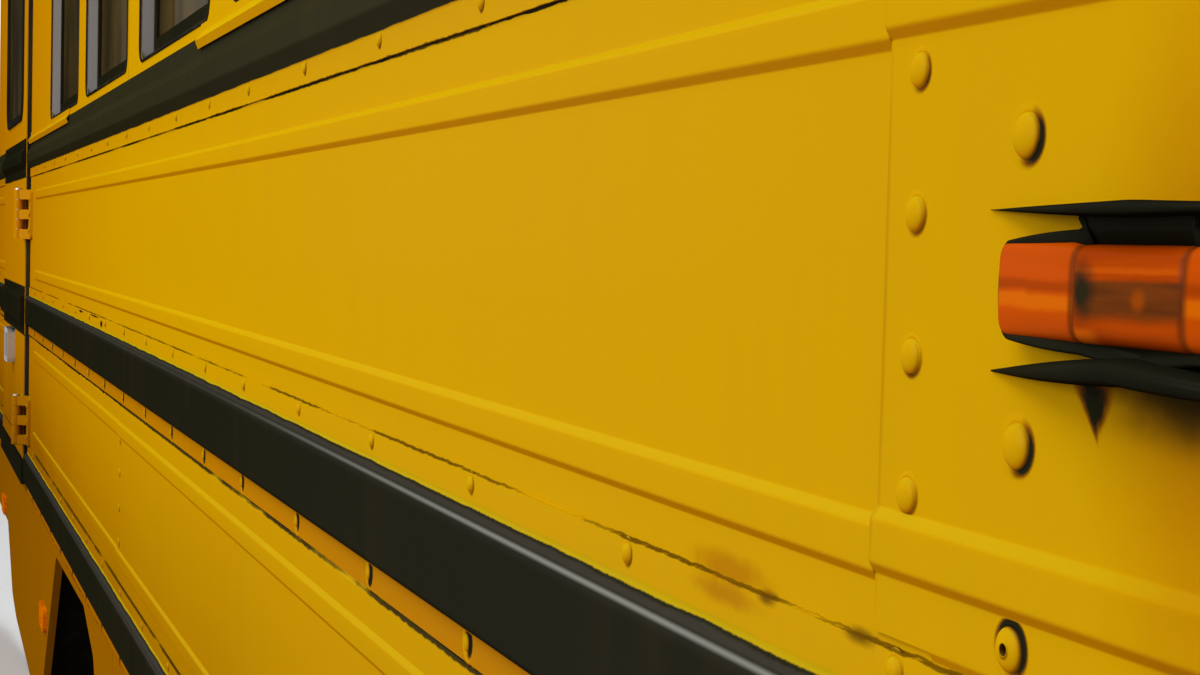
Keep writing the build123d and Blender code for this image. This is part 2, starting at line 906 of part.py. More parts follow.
def door_handle():
    """Pull handle in a raised bezel with rounded corners."""
    start, end = handle_front, handle_front + handle_length
    low, high = handle_level - handle_height / 2, handle_level + handle_height / 2
    front = door_proud + handle_proud
    floor = door_proud + handle_floor
    bezel = opening(start, end, low, high, handle_corner, door_proud, front)
    cup = opening(
        start + handle_rim, end - handle_rim, low + handle_rim, high - handle_rim,
        handle_corner / 2, floor, front,
    )
    grip = opening(
        start + grip_ahead, start + grip_ahead + grip_width, low + handle_rim / 2, high - handle_rim / 2,
        grip_width / 3, floor, front + grip_proud,
    )
    return bezel - cup + grip


def door_latch_bars():
    """Latch case inside the door, with the vertical rods that it works."""
    middle = handle_front + handle_length / 2
    low, high = handle_level - latch_case_height / 2, handle_level + latch_case_height / 2
    half, rod_half = latch_case_width / 2, latch_rod_width / 2
    back = door_back - latch_case_depth
    case = strip(middle - half, middle + half, low, high, back, door_back)
    rods = ((door_bottom + latch_rod_foot, low), (high, door_window_bottom - latch_rod_below_window))
    for bottom, top in rods:
        case += strip(middle - rod_half, middle + rod_half, bottom, top, back, back + latch_rod_depth)
    return case


def on_front_panel(shape):
    """A lamp piece moved out from the skin plane onto the panel ahead of the seam."""
    return Pos(0, -lap, 0) * shape


def lamp_opening(length, height, corner, back, front):
    """A rounded bar seen from outboard, centred on the lamp."""
    start, low = lamp_middle - length / 2, lamp_level - height / 2
    return opening(start, start + length, low, low + height, corner, back, front)


def lamp_plan(outline, low, height):
    """A (station, u) outline seen from above, carried up from a level."""
    face = make_face(Polyline(*[(x_at(s), skin_y - u) for s, u in outline], close=True))
    return extrude(Plane.XY.offset(low) * face, amount=height)


def lamp_base():
    """Flat black base that the lens snaps into."""
    length, height = lens_length + 2 * lamp_base_margin, lens_height + 2 * lamp_base_margin
    return lamp_opening(length, height, lens_corner + lamp_base_margin, 0, lamp_base_gauge)


def lens_block(inset):
    """The lens as a solid with rounded corners and tapered ends, made smaller by an inset."""
    half, flat = lens_length / 2 - inset, lens_flat / 2
    back, front = lamp_base_gauge, lens_proud - inset
    shoulder = back + lens_shoulder - inset
    plan = lamp_plan(
        [
            (lamp_middle - half, back),
            (lamp_middle - half, shoulder),
            (lamp_middle - flat, front),
            (lamp_middle + flat, front),
            (lamp_middle + half, shoulder),
            (lamp_middle + half, back),
        ],
        lamp_level - lens_height / 2, lens_height,
    )
    return plan & lamp_opening(2 * half, lens_height - 2 * inset, lens_corner - inset, back, front)


def lamp_lens():
    """Hollow amber lens."""
    return lens_block(0) - lens_block(lens_wall)


def lamp_bulb():
    """Reflector tray and bulb behind the lens."""
    tray_front = lamp_base_gauge + bulb_tray_gauge
    tray = lamp_opening(bulb_tray_length, bulb_tray_height, bulb_tray_height / 4, lamp_base_gauge, tray_front)
    middle = skin_y - tray_front - bulb_length / 2
    return tray + Pos(x_at(lamp_middle), middle, lamp_level) * Rotation(90, 0, 0) * Cylinder(
        bulb_radius, bulb_length
    )


def fin_plate(tip, low, high):
    """A horizontal plate between two levels, bowed outward and sharpened at its two ends."""
    arc = ((-fin_half, 0), (0, fin_proud), (fin_half, 0))
    ends = [(x_at(lamp_middle + across), skin_y - u) for across, u in arc]
    plan = make_face([ThreePointArc(*ends), Line(ends[0], ends[2])])
    start, end = lamp_middle - fin_half, lamp_middle + fin_half
    outline = [
        (start, tip - fin_tip_gauge / 2),
        (start + fin_taper, low),
        (end - fin_taper, low),
        (end, tip - fin_tip_gauge / 2),
        (end, tip + fin_tip_gauge / 2),
        (end - fin_taper, high),
        (start + fin_taper, high),
        (start, tip + fin_tip_gauge / 2),
    ]
    blank = elevation(outline, -cutter_margin, fin_proud + cutter_margin)
    return extrude(Plane.XY.offset(low) * plan, amount=high - low) & blank


def lamp_guard():
    """Two fins over and under the lens, each with a web to the lamp's middle."""
    web = (lamp_middle - web_length / 2, lamp_middle + web_length / 2)
    pieces = []
    for tip, near, far in lamp_fins:
        side = 1 if near > 0 else -1
        low, high = sorted((lamp_level + near, lamp_level + far))
        foot, top = sorted((lamp_level + side * (lens_height / 2 + web_fit), lamp_level + near))
        fin = fin_plate(lamp_level + tip, low, high)
        pieces.append(fin + strip(*web, foot, top, lamp_base_gauge, web_proud))
    return pieces


def side_reflectors():
    """Amber reflectors on the skirt."""
    pieces = []
    for past, level in reflector_places:
        start = last_post + past - reflector_width / 2
        low = level - reflector_height / 2
        end, high = start + reflector_width, low + reflector_height
        pieces.append(opening(start, end, low, high, reflector_corner, 0, reflector_gauge))
    return pieces


skirt_panels, skirt_arch = skirts()
jamb_low, jamb_high = opening_bottom, wall_top - cant_rail_height

nodes = {
    "floor_sill": floor_sill(),
    "body_posts": [hat_post(s, jamb_low, jamb_high) for s in post_stations + [rear_post]],
    "door_jambs": door_jambs(),
    "cant_rail": cant_rail(),
    "stringers": stringers(frame_low - joint_gap, waist_rail_height)
    + stringers(seat_rail_top - rail_flange, rail_height - 2 * rail_flange),
    "skirt_hangers": skirt_hangers(),
    "wheelhouse": wheelhouse(),
    "belt_panel_front": lapped_panel(
        *belt_panel_ahead, belt_seam, upper_rail_bottom - joggle_gap, seat_rail_top + joggle_gap
    ),
    "belt_panel_rear": [
        beaded_panel(*belt_panel, belt_seam - seam_overlap, opening_front, seam_overlap, bead_stop),
        beaded_panel(*belt_panel, *rear_run),
    ],
    "lower_panel_front": lapped_panel(
        *lower_panel, lower_seam, seat_rail_bottom - joggle_gap, floor_rail_top + joggle_gap
    ),
    "lower_panel_rear": [
        beaded_panel(*lower_panel, lower_seam - seam_overlap, opening_front, seam_overlap, bead_stop),
        beaded_panel(*lower_panel, *rear_run),
    ],
    "window_sheets": [
        sheet_with_windows(0, belt_seam - joint_gap / 2, 0, belt_seam_bay_count),
        sheet_with_windows(
            belt_seam + joint_gap / 2, window_seam - joint_gap / 2, belt_seam_bay_count, lower_seam_bay_count
        ),
        sheet_with_windows(window_seam + joint_gap / 2, opening_front, lower_seam_bay_count, bay_count),
        strip(*rear_run, window_sheet_bottom, wall_top, -skin, 0),
    ],
    "door_header": strip(*inner_run, opening_top, wall_top, -skin, 0),
    "sill_lips": sill_lips(),
    "drip_rail": drip_rail(),
    "skirt_panels": skirt_panels,
    "skirt_arch": skirt_arch,
    "upper_rail": [rail(upper_rail_profile(), *span) for span in (front_run, rear_run)],
    "seat_rail": [rail(rail_profile(seat_rail_top), *span) for span in (front_run, rear_run)],
    "floor_rail": [rail(rail_profile(floor_rail_top), *span) for span in (front_run, rear_run)],
    "door_threshold": strip(
        *inner_run, threshold_bottom, opening_bottom + threshold_lap, 0, threshold_proud
    ),
    "window_frames": window_frames(),
    "window_sashes": sash(sash_bottom, lower_sash_top, lower_sash_back)
    + sash(upper_sash_bottom, sash_top, upper_sash_back),
    "window_glass": sash_glass(sash_bottom, lower_sash_top, lower_sash_back)
    + sash_glass(upper_sash_bottom, sash_top, upper_sash_back),
    "sash_latches": sash_latches(),
    "wall_lining": liner_strips(floor_sill_upstand, chair_rail_level - liner_joint)
    + liner_strips(chair_rail_level, frame_low),
    "chair_rail": chair_rail(),
    "window_stools": window_stools(),
    "window_lining": [header_liner()] + post_covers(),
    "lamp_base": on_front_panel(lamp_base()),
    "lamp_guard": [on_front_panel(fin) for fin in lamp_guard()],
    "lamp_lens": on_front_panel(lamp_lens()),
    "lamp_bulb": on_front_panel(lamp_bulb()),
    "side_reflectors": side_reflectors(),
    "body_hinge_leaves": [hinge_side(level, 0, 1, 0.0, pin_radius) for level in door_hinge_levels],
    "hinge_pins": hinge_pins(),
    "door_seals": door_seals(),
    "door_skin": door_skin(),
    "door_frame": door_frame(),
    "door_inner_panel": door_inner_panel(),
    "door_glass": door_glass(),
    "door_gasket": door_gasket(),
    "door_rails": door_rails(),
    "door_handle": door_handle(),
    "door_latch_bars": door_latch_bars(),
    "door_hinge_leaves": [
        hinge_side(level, 1, -1, door_proud, pin_radius + pin_clearance) for level in door_hinge_levels
    ],
}

os.makedirs("parts", exist_ok=True)
for name, shape in nodes.items():
    if isinstance(shape, list):
        solids = [solid for piece in shape for solid in piece.solids()]
        shape = Compound(children=solids)
    export_step(shape, f"parts/{name}.step")
    print(name, len(shape.solids()))
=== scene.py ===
"""Looks, light and camera for a school bus's right-hand body side.

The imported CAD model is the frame. This script dresses its nodes with finishes and adds rivets,
sealant, glazing rubber and the marker lamp's lens and guard. Lengths are in metres. +X is
forward, -Y is outboard and +Z is up.
"""

import logging
from dataclasses import dataclass, replace
from enum import Enum
from functools import cached_property

import bmesh
import bpy
import numpy as np
from mathutils import Matrix, Vector


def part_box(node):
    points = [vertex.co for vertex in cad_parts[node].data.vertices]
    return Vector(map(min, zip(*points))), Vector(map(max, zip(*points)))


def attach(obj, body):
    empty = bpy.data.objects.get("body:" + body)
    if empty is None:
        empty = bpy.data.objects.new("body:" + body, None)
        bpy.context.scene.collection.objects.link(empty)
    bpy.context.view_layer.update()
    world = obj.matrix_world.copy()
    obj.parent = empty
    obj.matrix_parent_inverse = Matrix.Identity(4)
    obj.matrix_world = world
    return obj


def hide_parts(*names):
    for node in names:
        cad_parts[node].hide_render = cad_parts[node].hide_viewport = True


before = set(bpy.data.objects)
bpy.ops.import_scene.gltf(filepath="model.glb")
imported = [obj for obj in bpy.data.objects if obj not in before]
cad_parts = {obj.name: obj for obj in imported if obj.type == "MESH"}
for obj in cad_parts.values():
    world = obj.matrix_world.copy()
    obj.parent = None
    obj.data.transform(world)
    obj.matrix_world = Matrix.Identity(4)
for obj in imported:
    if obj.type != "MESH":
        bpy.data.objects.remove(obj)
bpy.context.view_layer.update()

LOG = logging.getLogger("body_side")

Colour = tuple[float, float, float]
Point = tuple[float, float, float]
Socket = bpy.types.NodeSocket
Material = bpy.types.Material
Shape = tuple[np.ndarray, ...]


class Body(Enum):
    """The two rigid bodies of the part."""

    SIDE = "side"
    DOOR = "door"


class Slot(Enum):
    """Material slots of the part's record that the added pieces use."""

    YELLOW = "yellow_paint"
    BLACK = "black_paint"
    RUBBER = "black_rubber"
    AMBER = "amber_lens"


@dataclass(frozen=True)
class SidePlan:
    """Places on the wall, read from the frame or worked out from it."""

    skin_y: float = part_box("door_header")[0].y
    front_x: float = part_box("cant_rail")[1].x
    rear_x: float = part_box("cant_rail")[0].x
    opening_front_x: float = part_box("door_header")[1].x + 0.001
    opening_rear_x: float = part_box("door_header")[0].x - 0.001
    door_y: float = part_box("door_skin")[0].y
    bay_pitch: float = 0.711
    first_post: float = 0.055
    bay_count: int = 6
    lap: float = 0.0016

    def post_x(self, index: float | np.ndarray) -> float | np.ndarray:
        """X of a post, counted from the front end, or of a place between two posts."""
        return self.front_x - self.first_post - index * self.bay_pitch

    def skin(self, proud: float) -> float:
        """Y of a plane that stands proud of the outer skin."""
        return self.skin_y - proud


PLAN = SidePlan()
CAMERA_X = 2.7985
LAMP = sum(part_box("lamp_lens"), Vector()) / 2
BELT_SEAM_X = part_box("belt_panel_front")[0].x
UPPER_RAIL_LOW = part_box("upper_rail")[0].z
SEAT_RAIL_LOW, SEAT_RAIL_TOP = (corner.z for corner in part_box("seat_rail"))
FLOOR_RAIL_LOW, FLOOR_RAIL_TOP = (corner.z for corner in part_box("floor_rail"))
RAIL_FLANGE = 0.0185
RAIL_SLOPE = 0.004
NO_UPPER_EDGE = 2.0
CLOUD_DEPTH = 0.2
LENS_DEPTH = 0.5
LINE_WANDER = 0.003
LINE_SHARE = 0.95


# Meshes worked out with numpy


def smooth_noise(count: int, waves: float, seed: int) -> np.ndarray:
    """Random values along a line.

    In words: random heights at evenly spaced knots, joined by cosine-eased steps.

    Args:
        count: How many values.
        waves: How many knots along the line.
        seed: Seed of the random heights.

    Returns:
        Values from 0 to 1.
    """
    knots = np.random.default_rng(seed).random(int(waves) + 2)
    place = np.linspace(0.0, waves, count)
    index = np.minimum(place.astype(int), len(knots) - 2)
    share = (1 - np.cos(np.pi * (place - index))) / 2
    return knots[index] * (1 - share) + knots[index + 1] * share


def superellipse(turn: np.ndarray, power: float) -> Shape:
    """Both coordinates of a superellipse: the angle's cosine and sine, each to 2 over the power."""
    return tuple(np.sign(wave) * np.abs(wave) ** (2 / power) for wave in (np.cos(turn), np.sin(turn)))


def ring_faces(rings: int, sides: int) -> np.ndarray:
    """Four-cornered faces between rings of points.

    Args:
        rings: How many rings.
        sides: Points on each ring.

    Returns:
        Corner numbers, (m, 4).
    """
    row = np.arange(rings - 1)[:, None] * sides
    column = np.arange(sides)[None]
    following = (column + 1) % sides
    corners = (row + column, row + following, row + sides + following, row + sides + column)
    return np.stack(corners, -1).reshape(-1, 4)


def tube_faces(rings: int, sides: int) -> np.ndarray:
    """Faces of a closed tube of rings, with strips across both ends.

    Args:
        rings: How many rings.
        sides: Points on each ring. An odd number leaves one triangle of each end open.

    Returns:
        Corner numbers, (m, 4).
    """
    low = np.arange(sides // 2 - 1)
    high = sides - 1 - low
    lid = np.stack([high, high - 1, low + 1, low], -1)
    return np.concatenate([ring_faces(rings, sides), lid, (rings - 1) * sides + lid[:, ::-1]])


def stack_copies(points: np.ndarray, faces: np.ndarray) -> Shape:
    """Joins placed copies of one shape.

    Args:
        points: Corners of each copy, (copies, n, 3).
        faces: Faces of one copy, (m, 4).

    Returns:
        All corners and all faces.
    """
    shift = np.arange(len(points))[:, None, None] * points.shape[1]
    return points.reshape(-1, 3), (faces[None] + shift).reshape(-1, faces.shape[1])


def joined(parts: list[Shape]) -> Shape:
    """Joins several shapes into one, with their values.

    Args:
        parts: Corners and faces of each and, where it has them, values at its corners.

    Returns:
        The same of all.
    """
    shift = np.cumsum([0] + [len(part[0]) for part in parts[:-1]])
    faces = np.concatenate([part[1] + first for first, part in zip(shift, parts)])
    points, *values = (np.concatenate([part[i] for part in parts]) for i in range(len(parts[0])) if i != 1)
    return (points, faces, *values)


def mesh_object(name: str, points: np.ndarray, faces: np.ndarray, smooth: bool = True) -> bpy.types.Object:
    """Makes an object from arrays of corners and of faces with one number of corners.

    Args:
        name: Name of the piece.
        points: Corner places, (n, 3).
        faces: Corner numbers, (m, k).
        smooth: Whether the faces are shaded smooth.

    Returns:
        The new object, in the scene.
    """
    mesh = bpy.data.meshes.new(name)
    corners = faces.shape[1]
    mesh.vertices.add(len(points))
    mesh.vertices.foreach_set("co", points.astype(np.float32).ravel())
    mesh.loops.add(faces.size)
    mesh.loops.foreach_set("vertex_index", faces.astype(np.int32).ravel())
    mesh.polygons.add(len(faces))
    mesh.polygons.foreach_set("loop_start", np.arange(0, faces.size, corners, dtype=np.int32))
    mesh.polygons.foreach_set("use_smooth", np.full(len(faces), smooth))
    mesh.update(calc_edges=True)
    mesh.validate()
    made = bpy.data.objects.new(name, mesh)
    bpy.context.scene.collection.objects.link(made)
    return made


def closed_piece(name: str, shape: Shape, material: Material, body: Body) -> bpy.types.Object:
    """Makes a closed piece with its faces outwards, paints it, sets it on its body and reports it.

    Args:
        name: Name of the piece.
        shape: Corners, faces and, where it is soiled, the dirt and painted shade at each corner.
        material: Its material.
        body: The body it moves with.

    Returns:
        The piece.
    """
    made = mesh_object(name, *shape[:2])
    work = bmesh.new()
    work.from_mesh(made.data)
    bmesh.ops.recalc_face_normals(work, faces=work.faces)
    work.to_mesh(made.data)
    work.free()
    for dirt in shape[2:]:
        made.data.attributes.new("dirt", "FLOAT", "POINT").data.foreach_set("value", dirt.astype(np.float32))
    made.data.materials.append(material)
    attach(made, body.value)
    LOG.info("%s: %d faces on %s", name, len(made.data.polygons), body.value)
    return made


@dataclass(frozen=True)
class RivetHead:
    """A domed head with a thin ring of dirt and painted shade on its edge and on the sheet round it.

    The dirt and painted shade lie thickest at one angle round the head, measured from forward
    towards up, and thin out over its spread. A blind head has a hole, painted dark as shade.
    """

    radius: float = 0.0047
    height: float = 0.0022
    sides: int = 16
    rings: int = 4
    ring_reach: float = 1.45
    dirt_shade_angle: float = -0.8
    dirt_shade_spread: float = 2.0
    dirt_shade_least: float = 0.5
    dirt_shade_most: float = 1.0
    hole: float = 0.0

    def _profile(self) -> Shape:
        """Distance from the axis, height and share of dirt and painted shade on each ring, from the middle
        outwards.

        In words: on the head the distance is the radius times the sine of an angle and the
        height is the cosine of that angle to the power 0.8, so the head is fuller than a ball.
        Three rings carry the dirt and painted shade over the sheet, and the last one lies under it.
        """
        angle = np.linspace(0.06, np.pi / 2, self.rings)
        out = self.radius * np.sin(angle)
        rise = self.height * np.cos(angle) ** 0.8
        dirt = np.clip((angle / (np.pi / 2)) ** 6, 0, 1) * 0.8
        if self.hole:
            out = np.concatenate([[self.hole * 0.3, self.hole * 0.9, self.hole], out[1:]])
            rise = np.concatenate([[self.height - 0.0022, self.height - 0.0020, self.height], rise[1:]])
            dirt = np.concatenate([[-1.0, -1.0, 0.0], dirt[1:]])
        reach = 1.0 + (self.ring_reach - 1) * np.array([0.04, 0.4, 1.0, 1.3])
        return (
            np.concatenate([out, self.radius * reach]),
            np.concatenate([rise, [0.00014, 0.00009, 0.0, -0.0002]]),
            np.concatenate([dirt, [1.0, 0.9, 0.0, 0.0]]),
        )

    def copies(self, places: np.ndarray, seed: int) -> Shape:
        """Heads at many places.

        In words: the profile is turned about the head's axis, and the dirt and painted shade at
        an angle is the profile's share times a raised cosine about its own angle, which differs a
        little from head to head. A negative share is dark all round, painted shade in the hole.

        Args:
            places: Middle of each head on its sheet, (k, 3).
            seed: Seed of the differences in dirt.

        Returns:
            Corners, faces and the dirt and painted shade at each corner.
        """
        out, rise, dirt = self._profile()
        turn = np.linspace(0, 2 * np.pi, self.sides, endpoint=False)
        stand = np.repeat(rise[:, None], self.sides, 1)
        shape = np.stack([out[:, None] * np.cos(turn), -stand, out[:, None] * np.sin(turn)], -1)
        draw = np.random.default_rng(seed).random((len(places), 2))
        middle = self.dirt_shade_angle + (draw[:, :1] - 0.5) * 0.9
        away = np.abs((turn[None] - middle + np.pi) % (2 * np.pi) - np.pi)
        round_head = np.cos(np.clip(away / self.dirt_shade_spread, 0, 1) * np.pi / 2) ** 1.2
        strength = self.dirt_shade_least + (self.dirt_shade_most - self.dirt_shade_least) * draw[:, 1:]
        share = np.where(dirt[None, :, None] < 0, 1.0, dirt[None, :, None] * (round_head * strength)[:, None])
        heads = stack_copies(places[:, None] + shape.reshape(-1, 3), tube_faces(len(out), self.sides))
        return (*heads, share.ravel())


def loop_strip(outline: np.ndarray, width: float, depth: float, back_y: float) -> Shape:
    """A bead of rubber with a half-round face, carried round closed (x, z) outlines.

    In words: at each corner the bead's middle is moved along the outline's outward normal by
    half the width times a cosine, and outboard by the depth times a sine.

    Args:
        outline: Corners of each outline, (k, n, 2).
        width: Width of the bead.
        depth: How far it stands outboard.
        back_y: Y of its back.

    Returns:
        Corners and faces.
    """
    ahead = np.roll(outline, -1, 1) - np.roll(outline, 1, 1)
    ahead /= np.linalg.norm(ahead, axis=-1, keepdims=True)
    normal = np.stack([ahead[..., 1], -ahead[..., 0]], -1)
    bend = np.linspace(0, 2 * np.pi, 8, endpoint=False)
    across = np.cos(bend) * width / 2
    out = np.where(np.sin(bend) > 0, np.sin(bend) * depth, np.sin(bend) * 0.0004)
    flat = outline[:, :, None] + normal[:, :, None] * across[:, None]
    points = np.stack([flat[..., 0], back_y - np.broadcast_to(out, flat.shape[:-1]), flat[..., 1]], -1)
    count, corners, ring = points.shape[:3]
    faces = ring_faces(corners + 1, ring) % (corners * ring)
    return stack_copies(points.reshape(count, corners * ring, 3), faces)


def rounded_outline(low: np.ndarray, high: np.ndarray, corner: float, steps: int = 5) -> np.ndarray:
    """Corners of rounded rectangles in (x, z), each corner a quarter circle inside both sides.

    Args:
        low: Lowest corner of each rectangle, (k, 2).
        high: Highest corner of each, (k, 2).
        corner: Radius of the corners.
        steps: Points on each corner.

    Returns:
        Outlines, (k, 4 * steps, 2), anticlockwise as seen from outboard.
    """
    turn = np.linspace(0, np.pi / 2, steps)[None, :] + np.arange(4)[:, None] * np.pi / 2
    sign = np.array([(1, 1), (0, 1), (0, 0), (1, 0)])
    middle = np.where(sign[None], high[:, None] - corner, low[:, None] + corner)
    ring = np.stack([np.cos(turn), np.sin(turn)], -1) * corner
    return (middle[:, :, None] + ring[None]).reshape(len(low), -1, 2)


@dataclass(frozen=True)
class Bead:
    """A bead of sealant: its level, mean width, share of gaps and how wildly its width changes."""

    level: float
    width: float
    gaps: float
    rough: float

    def run(self, start_x: float, end_x: float, proud: float, seed: int) -> Shape:
        """The flattened, ragged bead between two places along the skin.

        In words: the half width is half the width times a slow and a quick random value, less
        the share that is gaps, and the section is an ellipse sunk in the sheet to its middle.

        Args:
            start_x: Place of its first end.
            end_x: Place of its other end, rearward.
            proud: How far it stands outboard.
            seed: Seed of the random edge.

        Returns:
            Corners and faces.
        """
        length = start_x - end_x
        count = max(int(length / 0.0035), 24)
        along = np.linspace(0, 1, count)
        slow = smooth_noise(count, length / 0.11, seed)
        quick = smooth_noise(count, length / 0.008, seed + 1)
        size = (1 - self.rough) + self.rough * (1.1 * slow + 0.9 * quick) - self.gaps * (1.2 - slow)
        size = np.clip(size, 0.04, 2.0) * np.clip(np.minimum(along, 1 - along) * count / 3, 0.02, 1)
        wander = (smooth_noise(count, length / 0.02, seed + 2) - 0.5) * self.width * 0.6
        turn = np.linspace(0, 2 * np.pi, 8, endpoint=False)
        across = np.cos(turn)[None] * size[:, None] * self.width / 2 + wander[:, None]
        out = np.sin(turn)[None] * proud * np.clip(size[:, None], 0.2, 1.0)
        x = np.repeat((start_x - along * length)[:, None], len(turn), 1)
        points = np.stack([x, PLAN.skin_y - out, self.level - across], -1)
        return points.reshape(-1, 3), tube_faces(count, len(turn))


@dataclass(frozen=True)
class Blotch:
    """A closed skin of dirt on the sheet, thin as paint, that fades out at its rim.

    It has a middle (x, z), its reach along and up, a sideways lean upwards, the share of the
    width that is gone at the bottom, and the dirt's strength at the middle.
    """

    x: float
    z: float
    reach_x: float
    reach_z: float
    lean: float
    taper: float
    strength: float

    def patch(self, seed: int) -> Shape:
        """The patch.

        In words: rings of an ellipse about the middle, whose radius is broken up by two random
        waves. Going down, the width shrinks by the taper, and the whole leans sideways. The
        dirt is one less the square of the ring's share of the radius.

        Args:
            seed: Seed of the random rim.

        Returns:
            Corners, faces and the dirt at each corner.
        """
        sides = 40
        share = np.array([0.08, 0.4, 0.65, 0.85, 1.0, 1.3])
        turn = np.linspace(0, 2 * np.pi, sides, endpoint=False)
        rim = 0.65 + 0.5 * smooth_noise(sides, 6, seed) + 0.25 * smooth_noise(sides, 17, seed + 1)
        close = np.cos(turn / 2) ** 12
        rim = rim * (1 - close) + rim[0] * close
        up = share[:, None] * np.sin(turn) * rim * self.reach_z
        along = share[:, None] * np.cos(turn) * rim * self.reach_x
        along = along * (1 - self.taper * np.clip(0.5 - up / (2 * self.reach_z), 0, 1)) + self.lean * up
        lift = np.repeat(np.array([0.0002, 0.00017, 0.00012, 0.00006, 0.0, -0.00015])[:, None], sides, 1)
        middle = np.array([self.x, PLAN.skin(PLAN.lap), self.z])
        points = middle + np.stack([along, -lift, up], -1).reshape(-1, 3)
        dirt = self.strength * np.repeat(np.clip(1.1 - share**2 * 1.25, 0, 1)[:, None], sides, 1)
        return points, tube_faces(len(share), sides), dirt.ravel()


# Shader wiring


class Wiring:
    """Adds and links nodes in one shader tree, whose noises and effects lie on one place."""

    def __init__(self, tree: bpy.types.NodeTree, place: Socket | None = None) -> None:
        """Works on one tree."""
        self.tree = tree
        self.place = place

    def add(self, kind: str, inputs: dict | None = None, **settings: object) -> bpy.types.Node:
        """Adds a node.

        Args:
            kind: Blender's name of the node type, after ShaderNode.
            inputs: Sockets, numbers, vectors or colours by input name or number.
            settings: Properties of the node.

        Returns:
            The node.
        """
        node = self.tree.nodes.new("ShaderNode" + kind)
        for name, value in settings.items():
            setattr(node, name, value)
        for name, value in (inputs or {}).items():
            socket = node.inputs[name]
            if isinstance(value, Socket):
                self.tree.links.new(value, socket)
            else:
                socket.default_value = (*value, 1.0) if socket.type == "RGBA" else value
        return node

    def math(self, operation: str, first: object, second: object = 0.0, clamp: bool = False) -> Socket:
        """A number worked out from two others."""
        return self.add("Math", {0: first, 1: second}, operation=operation, use_clamp=clamp).outputs[0]

    def times(self, first: object, second: object) -> Socket:
        """A product."""
        return self.math("MULTIPLY", first, second)

    def centred(self, value: Socket, reach: object) -> Socket:
        """A value from 0 to 1, moved to lie about zero and scaled."""
        return self.times(self.math("SUBTRACT", value, 0.5), reach)

    def ramp(self, value: Socket, low: float, high: float, start: float = 0.0, end: float = 1.0) -> Socket:
        """A value eased from one number to another as its input goes from low to high."""
        return self.add("MapRange", {
            "Value": value, "From Min": low, "From Max": high, "To Min": start, "To Max": end,
        }, interpolation_type="SMOOTHSTEP").outputs[0]

    def band(self, value: Socket, rise: tuple[float, float], fall: tuple[float, float]) -> Socket:
        """One between two eased edges and zero outside them."""
        return self.times(self.ramp(value, *rise), self.ramp(value, *fall, 1.0, 0.0))

    def blend(self, factor: object, first: object, second: object) -> Socket:
        """A colour between two others."""
        return self.add("Mix", {0: factor, 6: first, 7: second}, data_type="RGBA").outputs[2]

    def layers(self, colour: object, *stack: tuple[Socket, float, object]) -> Socket:
        """Lays colours over another.

        Args:
            colour: The lowest colour.
            stack: The mask, share and colour of each layer, in order.

        Returns:
            The colour that is seen.
        """
        for mask, share, tint in stack:
            colour = self.blend(self.times(mask, share), colour, tint)
        return colour

    def noise(self, scale: float, detail: float, stretch: Point = (1, 1, 1), rough: float = 0.5) -> Socket:
        """Noise from 0 to 1 on the place, stretched along each axis."""
        moved = self.add("Mapping", {"Vector": self.place, "Scale": stretch}).outputs[0]
        inputs = {"Vector": moved, "Scale": scale, "Detail": detail, "Roughness": rough}
        return self.add("TexNoise", inputs).outputs[0]

    def axes(self, vector: Socket) -> bpy.types.bpy_prop_collection:
        """The three numbers of a vector."""
        return self.add("SeparateXYZ", {0: vector}).outputs

    def facing(self) -> bpy.types.bpy_prop_collection:
        """The three numbers of the surface's normal."""
        return self.axes(self.add("NewGeometry").outputs["Normal"])

    def effect(self, group: bpy.types.NodeTree, **inputs: object) -> Socket:
        """Puts a shared effect on the place and gives its output."""
        return self.add("Group", {"Place": self.place, **inputs}, node_tree=group).outputs[0]


